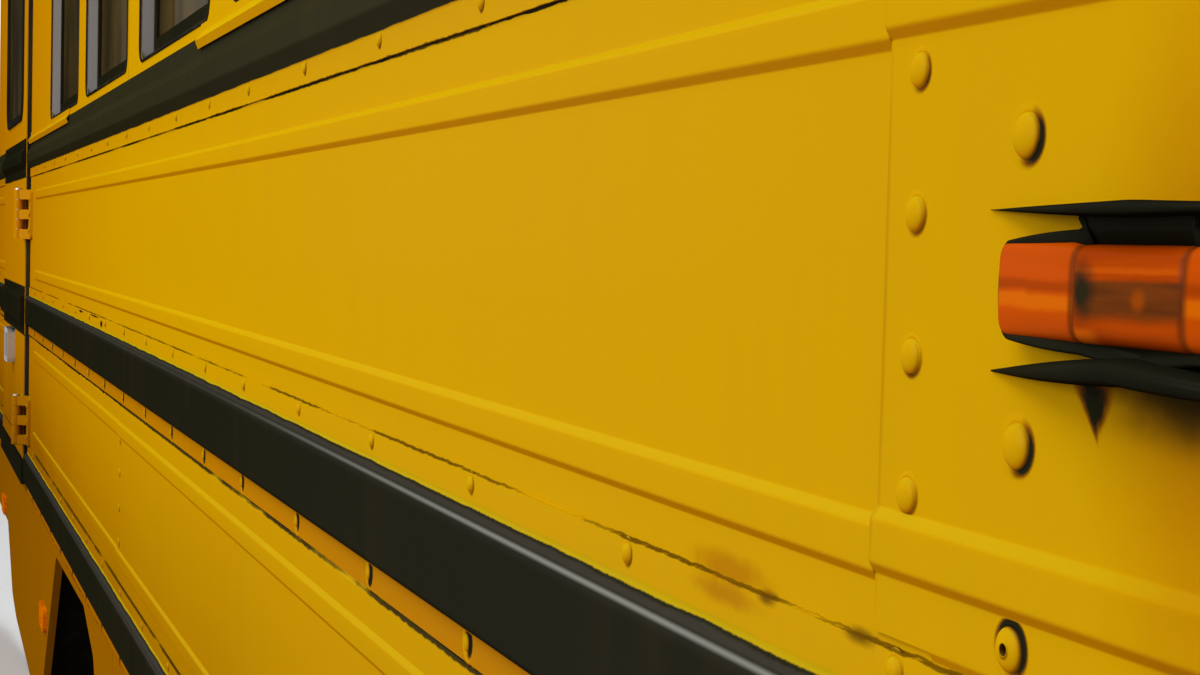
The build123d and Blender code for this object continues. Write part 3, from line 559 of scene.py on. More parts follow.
class SharedEffects:
    """Node groups that more than one finish uses, each built once."""

    def __init__(self) -> None:
        """Builds every group."""
        self.level_line = self._level_line()
        self.spot = self._spot()
        self.film = self._film()
        self.sheet_wave = self._sheet_wave()

    @staticmethod
    def _start(name: str, output: str, *vectors: str, **numbers: float) -> tuple[Wiring, dict, Socket]:
        """Opens a group.

        Args:
            name: Name of the group.
            output: Name of its one output.
            vectors: Names of the inputs that are vectors, after Place.
            numbers: Starting values of the inputs that are numbers.

        Returns:
            The wiring, the input sockets by name, and the output socket.
        """
        group = bpy.data.node_groups.new(name, "ShaderNodeTree")
        for entry in ("Place", *vectors):
            group.interface.new_socket(entry, in_out="INPUT", socket_type="NodeSocketVector")
        for entry, start in numbers.items():
            made = group.interface.new_socket(entry, in_out="INPUT", socket_type="NodeSocketFloat")
            made.default_value = start
        group.interface.new_socket(output, in_out="OUTPUT", socket_type="NodeSocketFloat")
        given = {s.name: s for s in group.nodes.new("NodeGroupInput").outputs}
        return Wiring(group, given["Place"]), given, group.nodes.new("NodeGroupOutput").inputs[output]

    def _level_line(self) -> bpy.types.NodeTree:
        """A ragged horizontal dark line at one level, for dirt and for painted shadow.

        In words: one less the distance from the level over the half width, where the level
        wanders with noise and the half width shrinks where a slower noise is low.
        """
        wire, given, result = self._start(
            "level_line", "Mask", Level=0.0, HalfWidth=0.002, Wander=0.002, Cover=0.6,
        )
        level = wire.axes(wire.place)[2]
        fine = wire.noise(90.0, 4.0, (1, 1, 1), 0.65)
        slow = wire.noise(5.0, 3.0, (1, 1, 0.4), 0.6)
        moved = wire.math("ADD", level, wire.centred(fine, given["Wander"]))
        away = wire.math("ABSOLUTE", wire.math("SUBTRACT", moved, given["Level"]))
        cover = wire.ramp(wire.math("ADD", slow, wire.math("SUBTRACT", given["Cover"], 0.5)), 0.38, 0.62)
        half = wire.times(given["HalfWidth"], wire.math("MAXIMUM", cover, 0.05))
        near = wire.math("SUBTRACT", 1.0, wire.math("DIVIDE", away, half), clamp=True)
        wire.tree.links.new(wire.times(wire.ramp(near, 0.0, 0.6), cover), result)
        return wire.tree

    def _spot(self) -> bpy.types.NodeTree:
        """A blotch round a point, broken up by noise.

        In words: one less the distance from the centre, each axis measured in its own reach,
        plus noise.
        """
        wire, given, result = self._start("spot", "Mask", "Centre", "Reach", BreakUp=0.6)
        offset = wire.add("VectorMath", {0: wire.place, 1: given["Centre"]}, operation="SUBTRACT")
        scaled = wire.add("VectorMath", {0: offset.outputs[0], 1: given["Reach"]}, operation="DIVIDE")
        length = wire.add("VectorMath", {0: scaled.outputs[0]}, operation="LENGTH").outputs["Value"]
        wobble = wire.centred(wire.noise(60.0, 5.0, (1, 1, 1), 0.65), given["BreakUp"])
        near = wire.math("SUBTRACT", 1.0, wire.math("ADD", length, wobble), clamp=True)
        wire.tree.links.new(wire.ramp(near, 0.0, 0.8), result)
        return wire.tree

    def _film(self) -> bpy.types.NodeTree:
        """A thin uneven film of road dust.

        In words: two noises, one stretched down the wall as rain leaves it, multiplied.
        """
        wire, given, result = self._start("film", "Mask", Amount=0.5)
        streaks = wire.noise(26.0, 4.0, (1, 1, 0.12), 0.6)
        clouds = wire.noise(3.0, 4.0, (1, 1, 1), 0.55)
        both = wire.times(wire.ramp(streaks, 0.35, 0.75), wire.ramp(clouds, 0.35, 0.7))
        wire.tree.links.new(wire.times(both, given["Amount"]), result)
        return wire.tree

    def _sheet_wave(self) -> bpy.types.NodeTree:
        """Height of a painted sheet: slow waves in the metal and a fine orange peel.

        In words: a slow noise times the wave height plus a quick noise times the peel height.
        """
        wire, given, result = self._start("sheet_wave", "Height", Wave=0.001, Peel=0.00002)
        wave = wire.times(wire.noise(4.5, 1.5, (1, 1, 1.6)), given["Wave"])
        peel = wire.times(wire.noise(420.0, 1.0), given["Peel"])
        wire.tree.links.new(wire.math("ADD", wave, peel), result)
        return wire.tree


# Finishes


@dataclass(frozen=True)
class Finish:
    """Plain numbers of one finish."""

    name: str
    colour: Colour
    roughness: float
    metallic: float = 0.0
    coat: float = 0.0
    coat_roughness: float = 0.2
    wave: float = 0.0
    peel: float = 0.0
    dust: float = 0.0


@dataclass(frozen=True)
class DirtAndShadeLine:
    """A ragged dark line at a level, of growth and in one case painted shadow too: half width, how much of
    the run it covers and colour.
    """

    level: float
    half_width: float
    cover: float
    colour: Colour = (0.10, 0.055, 0.001)


@dataclass(frozen=True)
class Cloud:
    """A soft patch in the paint, of dirt in some and of painted shade in others: middle (x, z), reach (x, z),
    break-up, strength and colour.
    """

    x: float
    z: float
    reach_x: float
    reach_z: float
    break_up: float
    strength: float
    colour: Colour


GROWTH = (0.013, 0.013, 0.005)
BURNT = (0.26, 0.085, 0.001)
DUST = (0.22, 0.15, 0.03)
# Painted shade: darker and more orange low down.
LOW_PAINTED_SHADE = (0.33, 0.120, 0.0)
# Painted shade on slopes that face down.
UNDERSIDE_PAINTED_SHADE = (0.68, 0.25, 0.0)
# Painted light on slopes that face up.
UPPERSIDE_PAINTED_LIGHT = (0.48, 0.345, 0.002)
# Painted shade: a deeper orange towards the rear.
REAR_PAINTED_SHADE = (0.60, 0.20, 0.0)
# Painted shade on the flanges below the rails' raised parts.
FLANGE_PAINTED_SHADE = (0.45, 0.14, 0.0)
OLIVE = (0.44, 0.31, 0.001)
# A lighter, browner black for the upper rail: dust and a painted reflection of the ground below it.
DUST_AND_PAINTED_REFLECTION_BLACK = (0.026, 0.024, 0.010)
# Dust with a painted sheen on the rails' upward slopes, and a faint painted sheen below the bends.
DUST_AND_SHEEN_BLACK = (0.036, 0.034, 0.028)
# Painted highlight along the rails' bends.
PAINTED_HIGHLIGHT_GREY = (0.19, 0.19, 0.165)
SHADED_FRAME = (0.020, 0.018, 0.013)

YELLOW_FINISH = Finish(
    "chrome_yellow", (0.62, 0.335, 0.0), 0.38, coat=0.04, wave=0.0005, peel=0.00002, dust=0.03,
)
BLACK_FINISH = Finish(
    "rail_black", (0.0125, 0.0118, 0.0055), 0.34, coat=0.05, wave=0.0004, peel=0.00002, dust=0.03,
)
LINING_FINISH = Finish("lining_green", (0.42, 0.46, 0.38), 0.5, coat=0.2, wave=0.0008, peel=0.00003, dust=0.3)
STEEL_FINISH = Finish("primed_steel", (0.085, 0.085, 0.088), 0.6, coat=0.1, peel=0.00006, dust=0.6)
UNDERSEAL_FINISH = Finish("underseal", (0.012, 0.012, 0.011), 0.85, peel=0.0006, dust=0.2)
FRAME_FINISH = Finish("frame_metal", (0.42, 0.39, 0.38), 0.42, dust=0.25)
BRIGHT_FINISH = Finish("bright_metal", (0.62, 0.61, 0.58), 0.25, metallic=1.0, dust=0.2)
RUBBER_FINISH = Finish("weathered_rubber", (0.014, 0.014, 0.013), 0.7, coat=0.1, peel=0.00008, dust=0.2)
PLASTIC_FINISH = Finish("guard_plastic", (0.0095, 0.0095, 0.0052), 0.5, coat=0.03, peel=0.00004, dust=0.03)
SEALANT_FINISH = Finish("old_sealant", (0.016, 0.014, 0.006), 0.8, peel=0.0002)
GLASS_FINISH = Finish("tinted_glass", (0.045, 0.034, 0.014), 0.03, coat=1.0, coat_roughness=0.03)
AMBER_FINISH = Finish("amber_reflector", (0.62, 0.12, 0.0), 0.3, coat=0.4)
LENS_FINISH = Finish("amber_lens_window", (0.56, 0.074, 0.0), 0.3, coat=0.05, coat_roughness=0.15)

YELLOW_LINES = (
    DirtAndShadeLine(SEAT_RAIL_TOP + 0.0003, 0.0010, 0.58, (0.15, 0.068, 0.001)),
    # Dirt and painted shadow under the seat rail's lower edge.
    DirtAndShadeLine(SEAT_RAIL_LOW - 0.0024, 0.0023, 0.66, (0.016, 0.011, 0.003)),
    DirtAndShadeLine(UPPER_RAIL_LOW - 0.0006, 0.0016, 0.60, (0.050, 0.028, 0.002)),
    DirtAndShadeLine(FLOOR_RAIL_TOP + 0.0008, 0.0030, 0.6),
    DirtAndShadeLine(FLOOR_RAIL_LOW - 0.0008, 0.0035, 0.6),
)
YELLOW_CLOUDS = (
    # Painted shade beside the belt panels' lap edge.
    Cloud(BELT_SEAM_X, 0.4900, 0.0030, 0.1300, 0.4, 0.45, (0.36, 0.16, 0.0)),
    Cloud(CAMERA_X - 0.652, 0.3862, 0.0115, 0.0040, 0.5, 0.90, (0.17, 0.070, 0.001)),
    Cloud(CAMERA_X - 0.579, 0.3862, 0.0150, 0.0040, 0.5, 0.85, (0.17, 0.080, 0.001)),
    Cloud(CAMERA_X - 0.688, 0.3905, 0.050, 0.0085, 0.8, 0.75, (0.42, 0.16, 0.0)),
    Cloud(CAMERA_X - 0.690, 0.3810, 0.045, 0.0060, 0.8, 0.75, (0.42, 0.16, 0.0)),
    # Painted shade round the lamp guard, mostly below it.
    Cloud(CAMERA_X - 0.385, 0.4900, 0.080, 0.1300, 0.15, 0.80, (0.44, 0.16, 0.0)),
    # Painted shadow under the lower fin.
    Cloud(CAMERA_X - 0.402, 0.4790, 0.060, 0.0200, 0.3, 1.00, (0.04, 0.022, 0.002)),
)


class Paint(Wiring):
    """A new material's wiring, with its Principled BSDF and the place on the part."""

    def __init__(self, finish: Finish, effects: SharedEffects) -> None:
        """Starts the material.

        Args:
            finish: Its plain numbers.
            effects: The shared effects that it may place.
        """
        self.finish = finish
        self.effects = effects
        self.material = bpy.data.materials.new(finish.name)
        self.material.use_nodes = True
        self.material.diffuse_color = (*finish.colour, 1.0)
        super().__init__(self.material.node_tree)
        self.tree.nodes.clear()
        self.shader = self.add("BsdfPrincipled", {
            "Base Color": finish.colour, "Roughness": finish.roughness, "Metallic": finish.metallic,
            "Specular IOR Level": 0.0, "Coat Roughness": finish.coat_roughness,
        })
        if finish.coat:
            facing = self.add("LayerWeight", {"Blend": 0.5}).outputs["Facing"]
            self.link("Coat Weight", self.ramp(facing, 0.6, 0.92, finish.coat, 0.0))
        self.add("OutputMaterial", {"Surface": self.shader.outputs[0]})
        self.place = self.add("TexCoord").outputs["Object"]
        self.x, self.y, self.z = self.axes(self.place)

    def link(self, name: str, value: Socket) -> None:
        """Links a value to an input of the shader."""
        self.tree.links.new(value, self.shader.inputs[name])

    def surface(self, colour: Socket | Colour) -> Material:
        """Gives the shader its colour, its dust film, its uneven gloss and its relief.

        Args:
            colour: The clean colour under the dust.

        Returns:
            The finished material.
        """
        finish = self.finish
        film = self.effect(self.effects.film, Amount=finish.dust)
        self.link("Base Color", self.blend(film, colour, DUST))
        self.link("Roughness", self.ramp(film, 0.0, 0.5, finish.roughness, min(finish.roughness + 0.25, 1.0)))
        if finish.wave or finish.peel:
            relief = self.effects.sheet_wave
            height = self.effect(relief, Wave=finish.wave, Peel=finish.peel)
            bump = self.add("Bump", {"Height": height, "Distance": 1.0, "Strength": 1.0})
            self.link("Normal", bump.outputs[0])
        return self.material

    def spot(self, centre: Point, reach: Point, break_up: float) -> Socket:
        """Mask of a soft spot."""
        return self.effect(self.effects.spot, Centre=centre, Reach=reach, BreakUp=break_up)

    def dirty_and_shaded_yellow(self) -> Socket:
        """Yellow paint's colour with painted shade and light, its stains and its dirt lines.

        In words: painted shade grows from mid height down to the skirt, more strongly towards the
        rear, and a slow noise breaks it up; towards the rear the colour is also painted a deeper
        orange as shade. Slopes that face down get painted shade and slopes that face up get
        painted light. Some patches and one dirt line also hold painted shade and shadow.
        """
        # Painted shade that grows low down and towards the rear, broken up by a slow noise.
        low = self.ramp(self.z, -0.30, 0.46, 0.85, 0.0)
        rear = self.ramp(self.x, -3.0, 2.2, 2.2, 1.0)
        cloud = self.ramp(self.noise(1.7, 3.0), 0.25, 0.75, 0.85, 1.15)
        film = self.math("MULTIPLY", self.times(low, rear), cloud, clamp=True)
        slope = self.facing()[2]
        colour = self.layers(
            YELLOW_FINISH.colour,
            # Painted shade towards the rear, then painted shade low down.
            (self.ramp(self.x, -2.6, 0.9, 1.0, 0.0), 0.7, REAR_PAINTED_SHADE),
            (film, 1.0, LOW_PAINTED_SHADE),
            # Painted shade on slopes that face down, painted light on slopes that face up.
            (self.ramp(slope, -0.50, -0.12, 1.0, 0.0), 0.62, UNDERSIDE_PAINTED_SHADE),
            (self.ramp(slope, 0.15, 0.60), 0.5, UPPERSIDE_PAINTED_LIGHT),
        )
        # Stains, and patches of painted shade.
        for stain_or_shade in YELLOW_CLOUDS:
            centre = (stain_or_shade.x, PLAN.skin_y, stain_or_shade.z)
            mask = self.spot(centre, (stain_or_shade.reach_x, CLOUD_DEPTH, stain_or_shade.reach_z), stain_or_shade.break_up)
            colour = self.layers(colour, (mask, stain_or_shade.strength, stain_or_shade.colour))
        for line in YELLOW_LINES:
            mask = self.effect(
                self.effects.level_line, Level=line.level, HalfWidth=line.half_width, Wander=LINE_WANDER,
                Cover=line.cover,
            )
            colour = self.layers(colour, (mask, LINE_SHARE, line.colour))
        return colour


class FinishShop:
    """Makes each material once."""

    def __init__(self) -> None:
        """Builds the shared effects that the materials place."""
        self.effects = SharedEffects()
        self.materials: dict[str, Material] = {}

    def _open(self, finish: Finish) -> Paint:
        """Starts a material."""
        return Paint(finish, self.effects)

    def plain(self, finish: Finish) -> Material:
        """A finish of one colour under a film of dust."""
        if finish.name not in self.materials:
            self.materials[finish.name] = self._open(finish).surface(finish.colour)
        return self.materials[finish.name]

    def yellow(self) -> Material:
        """The yellow paint with painted shade low down and towards the rear, and growth along its laps."""
        paint = self._open(YELLOW_FINISH)
        return paint.surface(paint.dirty_and_shaded_yellow())

    @cached_property
    def soiled(self) -> Material:
        """The yellow paint under the dirt and painted shade that a piece's own values ask for."""
        paint = self._open(replace(YELLOW_FINISH, name="soiled_yellow", wave=0.0))
        # The dirt values carry real dirt and, round rivet and bolt heads, painted shade.
        dirt = paint.add("Attribute", attribute_name="dirt").outputs["Fac"]
        grain = paint.centred(paint.noise(320.0, 3.0), 0.5)
        broken = paint.math("MULTIPLY", dirt, paint.math("ADD", grain, 1.0), clamp=True)
        return paint.surface(paint.layers(
            paint.dirty_and_shaded_yellow(),
            (paint.ramp(broken, 0.0, 0.55), 1.0, BURNT),
            (paint.ramp(broken, 0.42, 0.9), 1.0, GROWTH),
        ))

    def skirt(self) -> Material:
        """The yellow paint on the skirt's outer face, and underseal behind it."""
        paint = self._open(replace(YELLOW_FINISH, name="skirt_yellow"))
        behind = paint.ramp(paint.facing()[1], 0.3, 0.6)
        return paint.surface(paint.blend(behind, paint.dirty_and_shaded_yellow(), UNDERSEAL_FINISH.colour))

    def rail(self, name: str, low: float, high: float, black: Colour) -> Material:
        """Rail paint, black between two levels and yellow on the flanges beyond them.

        In words: the paint's edges wander with a slow and a quick noise. Above the upper edge
        a narrow band is greener, where the first coat shows. Under it the sloping side holds
        dust with a painted sheen, and the bend below that has a painted highlight and more
        gloss, stronger nearer the front, over a faint painted sheen that fades down the face.
        The flange below the lower edge has painted shade, strongest under the low rails.

        Args:
            name: Name of the material.
            low: Level of the lower paint edge.
            high: Level of the upper paint edge.
            black: The black.

        Returns:
            The material.
        """
        paint = self._open(replace(BLACK_FINISH, name=name, colour=black))
        level = paint.z
        slow = paint.centred(paint.noise(16.0, 2.0), 0.0022)
        quick = paint.centred(paint.noise(330.0, 2.0), 0.0008)
        edge = paint.math("ADD", level, paint.math("ADD", slow, quick))
        above = paint.ramp(edge, low - 0.0004, low + 0.0004)
        below = paint.ramp(edge, high - 0.0004, high + 0.0004, 1.0, 0.0)
        # Painted shade on the flange below the rail's raised part, strong under the seat and floor rails,
        # faint under the upper one.
        under = paint.times(
            paint.ramp(level, low - 0.0005, low + 0.0005, 1.0, 0.0),
            paint.ramp(level, SEAT_RAIL_TOP, UPPER_RAIL_LOW, 0.65, 0.1),
        )
        first_coat = paint.times(paint.ramp(edge, high + 0.0012, high + 0.0040, 1.0, 0.0), above)
        yellow = paint.layers(paint.dirty_and_shaded_yellow(), (under, 1.0, FLANGE_PAINTED_SHADE), (first_coat, 0.85, OLIVE))
        bend = high - RAIL_SLOPE - 0.0004
        # Dust on the upward slope above the bend, with a painted sheen; below the bend a faint painted sheen
        # fades down the face.
        dust = paint.ramp(level, bend + 0.0004, bend + 0.0020)
        sheen_falloff = paint.ramp(level, bend - 0.0085, bend - 0.0010, 0.0, 0.35)
        # Painted highlight along the bend, stronger nearer the front, with more gloss there.
        painted_highlight = paint.times(
            paint.band(level, (bend - 0.0030, bend - 0.0005), (bend - 0.0009, bend + 0.0010)),
            paint.ramp(paint.x, 0.9, 2.1, 0.08, 1.0),
        )
        line = paint.times(paint.ramp(edge, high - 0.0016, high - 0.0006), above)
        worn = paint.layers(
            black,
            (paint.math("MAXIMUM", dust, sheen_falloff), 1.0, DUST_AND_SHEEN_BLACK),
            (painted_highlight, 1.0, PAINTED_HIGHLIGHT_GREY),
            (line, 1.0, GROWTH),
        )
        coat = paint.shader.inputs["Coat Weight"].links[0].from_socket
        paint.link("Coat Weight", paint.times(coat, paint.ramp(painted_highlight, 0.0, 1.0, 1.0, 6.0)))
        return paint.surface(paint.blend(paint.times(above, below), yellow, worn))

    def frames(self) -> Material:
        """Window frames in their own colour on the openings' sides near the skin, and in painted shade deeper
        in and on every other face.
        """
        paint = self._open(FRAME_FINISH)
        side = paint.math("ABSOLUTE", paint.facing()[0])
        outer = paint.ramp(paint.y, PLAN.skin_y + 0.0150, PLAN.skin_y + 0.0175, 1.0, 0.0)
        bright = paint.times(paint.ramp(side, 0.6, 0.8), outer)
        # Painted shade on the frame deeper in and on faces that don't face along the wall.
        return paint.surface(paint.blend(bright, SHADED_FRAME, FRAME_FINISH.colour))

    def glass(self) -> Material:
        """Dark window glass with painted reflections, brown clouds of the warm surroundings, in places."""
        paint = self._open(GLASS_FINISH)
        paint.shader.inputs["Transmission Weight"].default_value = 0.55
        paint.shader.inputs["IOR"].default_value = 1.001
        # Painted reflection: brown clouds in the glass's colour.
        cloud = paint.ramp(paint.noise(7.0, 3.0, (1, 1, 0.5)), 0.30, 0.90)
        paint.link("Base Color", paint.blend(cloud, GLASS_FINISH.colour, (0.18, 0.115, 0.030)))
        return paint.material

    def amber(self) -> Material:
        """Orange reflector plastic."""
        paint = self._open(AMBER_FINISH)
        bands = paint.ramp(paint.noise(60.0, 2.0, (0.5, 1, 4.0)), 0.4, 0.65)
        paint.link("Base Color", paint.blend(bands, AMBER_FINISH.colour, (0.76, 0.20, 0.0)))
        return paint.material

    def lens(self, middle_z: float, flat: float) -> Material:
        """Orange lens plastic with the dark bulb window behind its flat.

        In words: level bands of painted highlight and painted shade in the orange, deeper on the
        flat than on the ends, a thin painted highlight over the window and a low one under it,
        the window itself, which is darkest at its rear end and has a painted glint of the bulb,
        and painted shade in the groove at each end of the flat.

        Args:
            middle_z: Level of the lens's middle.
            flat: Half length of its flat.

        Returns:
            The material.
        """
        paint = self._open(LENS_FINISH)
        rearward = paint.math("SUBTRACT", LAMP.x, paint.x)
        along = paint.math("ABSOLUTE", rearward)
        waver = paint.centred(paint.noise(60.0, 2.0), 0.0025)
        level = paint.math("ADD", paint.math("SUBTRACT", paint.z, middle_z), waver)
        bands = paint.ramp(paint.noise(45.0, 2.0, (0.4, 1, 3.0)), 0.3, 0.7)
        lines = paint.ramp(paint.noise(90.0, 2.0, (0.3, 1, 4.0)), 0.3, 0.7)
        # On the ends: a band of painted highlight below the middle and a band of painted shade above it.
        ends = paint.layers(
            (0.50, 0.066, 0.0),
            (bands, 1.0, LENS_FINISH.colour),
            (paint.band(level, (-0.0056, -0.0034), (-0.0012, 0.0004)), 0.9, (0.66, 0.135, 0.0)),
            (paint.band(level, (0.0, 0.0014), (0.0024, 0.0044)), 0.8, (0.34, 0.043, 0.0)),
        )
        low = paint.times(paint.ramp(level, -0.0095, -0.0075, 1.0, 0.0), paint.ramp(rearward, 0.010, 0.017))
        inside = paint.times(
            paint.band(level, (-0.0078, -0.0034), (0.0030, 0.0046)),
            paint.ramp(rearward, flat - 0.0070, flat - 0.0015, 1.0, 0.0),
        )
        window = paint.blend(lines, (0.105, 0.026, 0.004), (0.165, 0.038, 0.004))
        # Painted glint of the bulb.
        painted_bulb_glint = paint.spot((LAMP.x + 0.0060, LAMP.y, middle_z - 0.0008), (0.0045, LENS_DEPTH, 0.0040), 0.5)
        dark_end = (LAMP.x + 0.0045 - flat, LAMP.y, middle_z + 0.0008)
        dark = paint.spot(dark_end, (0.0085, LENS_DEPTH, 0.0110), 0.5)
        # On the flat: a thin painted highlight above the window and a painted highlight low down.
        flats = paint.layers(
            (0.34, 0.040, 0.0),
            (bands, 1.0, (0.46, 0.060, 0.0)),
            (paint.band(level, (0.0052, 0.0060), (0.0064, 0.0078)), 0.8, (0.56, 0.088, 0.001)),
            (low, 0.8, (0.64, 0.12, 0.001)),
            (inside, 1.0, window),
            (painted_bulb_glint, 0.8, (0.34, 0.060, 0.001)),
            (dark, 1.0, (0.022, 0.017, 0.006)),
        )
        # Painted shade in the groove at each end of the flat.
        groove_shade = paint.math("ABSOLUTE", paint.math("SUBTRACT", along, flat + 0.0004))
        paint.link("Base Color", paint.layers(
            ends,
            (paint.ramp(along, flat - 0.0004, flat + 0.0004, 1.0, 0.0), 1.0, flats),
            (paint.ramp(groove_shade, 0.0003, 0.0026, 1.0, 0.0), 0.75, (0.13, 0.025, 0.003)),
        ))
        return paint.material


# Sub-assemblies


@dataclass
class PaintedSheets:
    """The CAD nodes by the finish they wear, apart from the rails."""

    yellow: tuple[str, ...] = (
        "belt_panel_front", "belt_panel_rear", "lower_panel_front", "lower_panel_rear", "window_sheets",
        "door_header", "sill_lips", "drip_rail", "door_skin", "door_jambs", "body_hinge_leaves",
        "door_hinge_leaves",
    )
    plain: tuple[tuple[Finish, tuple[str, ...]], ...] = (
        (STEEL_FINISH, ("floor_sill", "body_posts", "cant_rail", "stringers", "skirt_hangers", "door_frame")),
        (UNDERSEAL_FINISH, ("wheelhouse",)),
        (LINING_FINISH, ("wall_lining", "chair_rail", "window_stools", "window_lining", "door_inner_panel")),
        (BRIGHT_FINISH, ("hinge_pins", "door_handle", "door_latch_bars", "lamp_bulb")),
        (RUBBER_FINISH, ("door_seals", "door_gasket")),
        (PLASTIC_FINISH, ("sash_latches", "lamp_base", "lamp_guard")),
        (BLACK_FINISH, ("door_threshold", "window_sashes", "door_rails")),
    )
    rails: tuple[tuple[str, float, float, Colour], ...] = (
        ("upper_rail", UPPER_RAIL_LOW + RAIL_FLANGE, NO_UPPER_EDGE, DUST_AND_PAINTED_REFLECTION_BLACK),
        ("seat_rail", SEAT_RAIL_LOW + RAIL_FLANGE, SEAT_RAIL_TOP - RAIL_FLANGE, BLACK_FINISH.colour),
        ("floor_rail", FLOOR_RAIL_LOW + RAIL_FLANGE, FLOOR_RAIL_TOP - RAIL_FLANGE, BLACK_FINISH.colour),
    )

    @staticmethod
    def dress(nodes: tuple[str, ...], material: Material) -> None:
        """Gives CAD nodes one material."""
        for name in nodes:
            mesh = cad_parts[name].data
            mesh.materials.clear()
            mesh.materials.append(material)

    def build(self, shop: FinishShop) -> None:
        """Dresses every CAD node."""
        self.dress(self.yellow, shop.yellow())
        self.dress(("skirt_panels", "skirt_arch"), shop.skirt())
        self.dress(("window_frames",), shop.frames())
        self.dress(("window_glass", "door_glass"), shop.glass())
        self.dress(("side_reflectors", "lamp_lens"), shop.amber())
        for finish, nodes in self.plain:
            self.dress(nodes, shop.plain(finish))
        for name, low, high, black in self.rails:
            self.dress((name,), shop.rail(f"{name}_paint", low, high, black))
        LOG.info("painted %d CAD nodes", len(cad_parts))


@dataclass
class Rivets:
    """All rivet heads on the outer skin, in rows along the rails and columns at the seams."""

    pitch: float = PLAN.bay_pitch / 3
    past_post: float = 0.052
    drift: tuple[float, ...] = (0.011, 0.008, 0.003, 0.006, 0.0, -0.012)
    seam_column: float = 0.0195
    belt_levels: tuple[float, ...] = (0.5677, 0.5235, 0.4796, 0.4364)
    lower_levels: tuple[float, ...] = (0.234, 0.190, 0.143, 0.096)
    post_column: float = CAMERA_X - 0.4867
    post_levels: tuple[float, ...] = (0.545, 0.458)
    blind_levels: tuple[float, ...] = (0.4005,)
    high_levels: tuple[float, ...] = (
        UPPER_RAIL_LOW + 0.0125, SEAT_RAIL_TOP - 0.0062, FLOOR_RAIL_TOP - 0.0080,
    )
    low_levels: tuple[float, ...] = (SEAT_RAIL_LOW + 0.0110, FLOOR_RAIL_LOW + 0.0100)
    header_level: float = 1.475
    header_pitch: float = 0.1185

    def stations(self) -> np.ndarray:
        """Rivets along the rails, ahead of the door and behind it.

        Returns:
            X of each.
        """
        x = PLAN.post_x(0) - self.past_post - self.pitch * np.arange(-1, 26)
        x[4:4 + len(self.drift)] += self.drift
        ahead = (x < PLAN.front_x - 0.02) & (x > PLAN.opening_front_x + 0.02)
        behind = (x < PLAN.opening_rear_x - 0.02) & (x > PLAN.rear_x + 0.02)
        return x[ahead | behind]

    @staticmethod
    def places(x: np.ndarray | float, levels: tuple[float, ...], proud: float = PLAN.lap) -> np.ndarray:
        """Places on a sheet at every x on every level."""
        along, up = np.meshgrid(np.atleast_1d(x), np.array(levels))
        return np.stack([along.ravel(), np.full(up.size, PLAN.skin(proud)), up.ravel()], -1)

    def build(self, shop: FinishShop) -> None:
        """Makes the heads and paints them."""
        # Each head's ring carries grime and painted shade on the side given by its angle.
        small = RivetHead()
        marked = RivetHead(
            0.0052, dirt_shade_angle=0.0, dirt_shade_spread=2.3, ring_reach=2.1, dirt_shade_least=1.2, dirt_shade_most=3.0,
        )
        large = RivetHead(0.0056, sides=28, rings=7, ring_reach=1.35, dirt_shade_least=0.55, dirt_shade_most=0.85)
        wide = RivetHead(0.0066, 0.0026, 32, 8, 1.5, -0.25, 1.9, 1.1, 1.3)
        blind = replace(wide, hole=0.0021, dirt_shade_spread=2.9, dirt_shade_angle=0.5, dirt_shade_least=1.5, dirt_shade_most=1.5)
        header_x = np.arange(PLAN.rear_x + 0.05, PLAN.front_x - 0.03, self.header_pitch)
        lower_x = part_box("lower_panel_front")[0].x + self.seam_column
        rails = self.places(self.stations(), self.high_levels)
        header = self.places(header_x, (self.header_level,), 0.0)
        belt = self.places(BELT_SEAM_X + self.seam_column, self.belt_levels)
        lower = self.places(lower_x, self.lower_levels)
        heads = {
            "rail_rivets": small.copies(np.concatenate([rails, header]), 3),
            "flange_rivets": marked.copies(self.places(self.stations(), self.low_levels), 4),
            "seam_rivets": large.copies(np.concatenate([belt, lower]), 5),
            "post_rivets": wide.copies(self.places(self.post_column, self.post_levels), 8),
            "blind_rivet": blind.copies(self.places(self.post_column, self.blind_levels), 9),
        }
        for name, shape in heads.items():
            closed_piece(name, shape, shop.soiled, Body.SIDE)


@dataclass
class Stains:
    """Patches of dirt on the skin: the lamp's weep mark and what lies along the rails."""

    lamp_weep: tuple[Blotch, ...] = (
        Blotch(CAMERA_X - 0.4495, 0.4730, 0.0150, 0.0120, -0.22, 0.97, 1.00),
    )
    rail_stains: tuple[Blotch, ...] = (
        Blotch(CAMERA_X - 3.3150, 0.3825, 0.0380, 0.0025, 0.0, 0.0, 1.10),
        Blotch(CAMERA_X - 3.0900, 0.3838, 0.0750, 0.0016, 0.0, 0.0, 1.30),
        Blotch(CAMERA_X - 2.9950, 0.3772, 0.0190, 0.0058, 0.0, 0.0, 1.50),
        Blotch(CAMERA_X - 1.5200, 0.0280, 0.0600, 0.0050, 0.0, 0.0, 0.80),
        Blotch(CAMERA_X - 2.0500, 0.0300, 0.0700, 0.0040, 0.0, 0.0, 0.70),
    )

    def build(self, shop: FinishShop) -> None:
        """Makes the patches as two pieces."""
        for name, blotches in (("lamp_weep", self.lamp_weep), ("rail_stains", self.rail_stains)):
            shape = joined([blotch.patch(31 + 4 * number) for number, blotch in enumerate(blotches)])
            closed_piece(name, shape, shop.soiled, Body.SIDE)


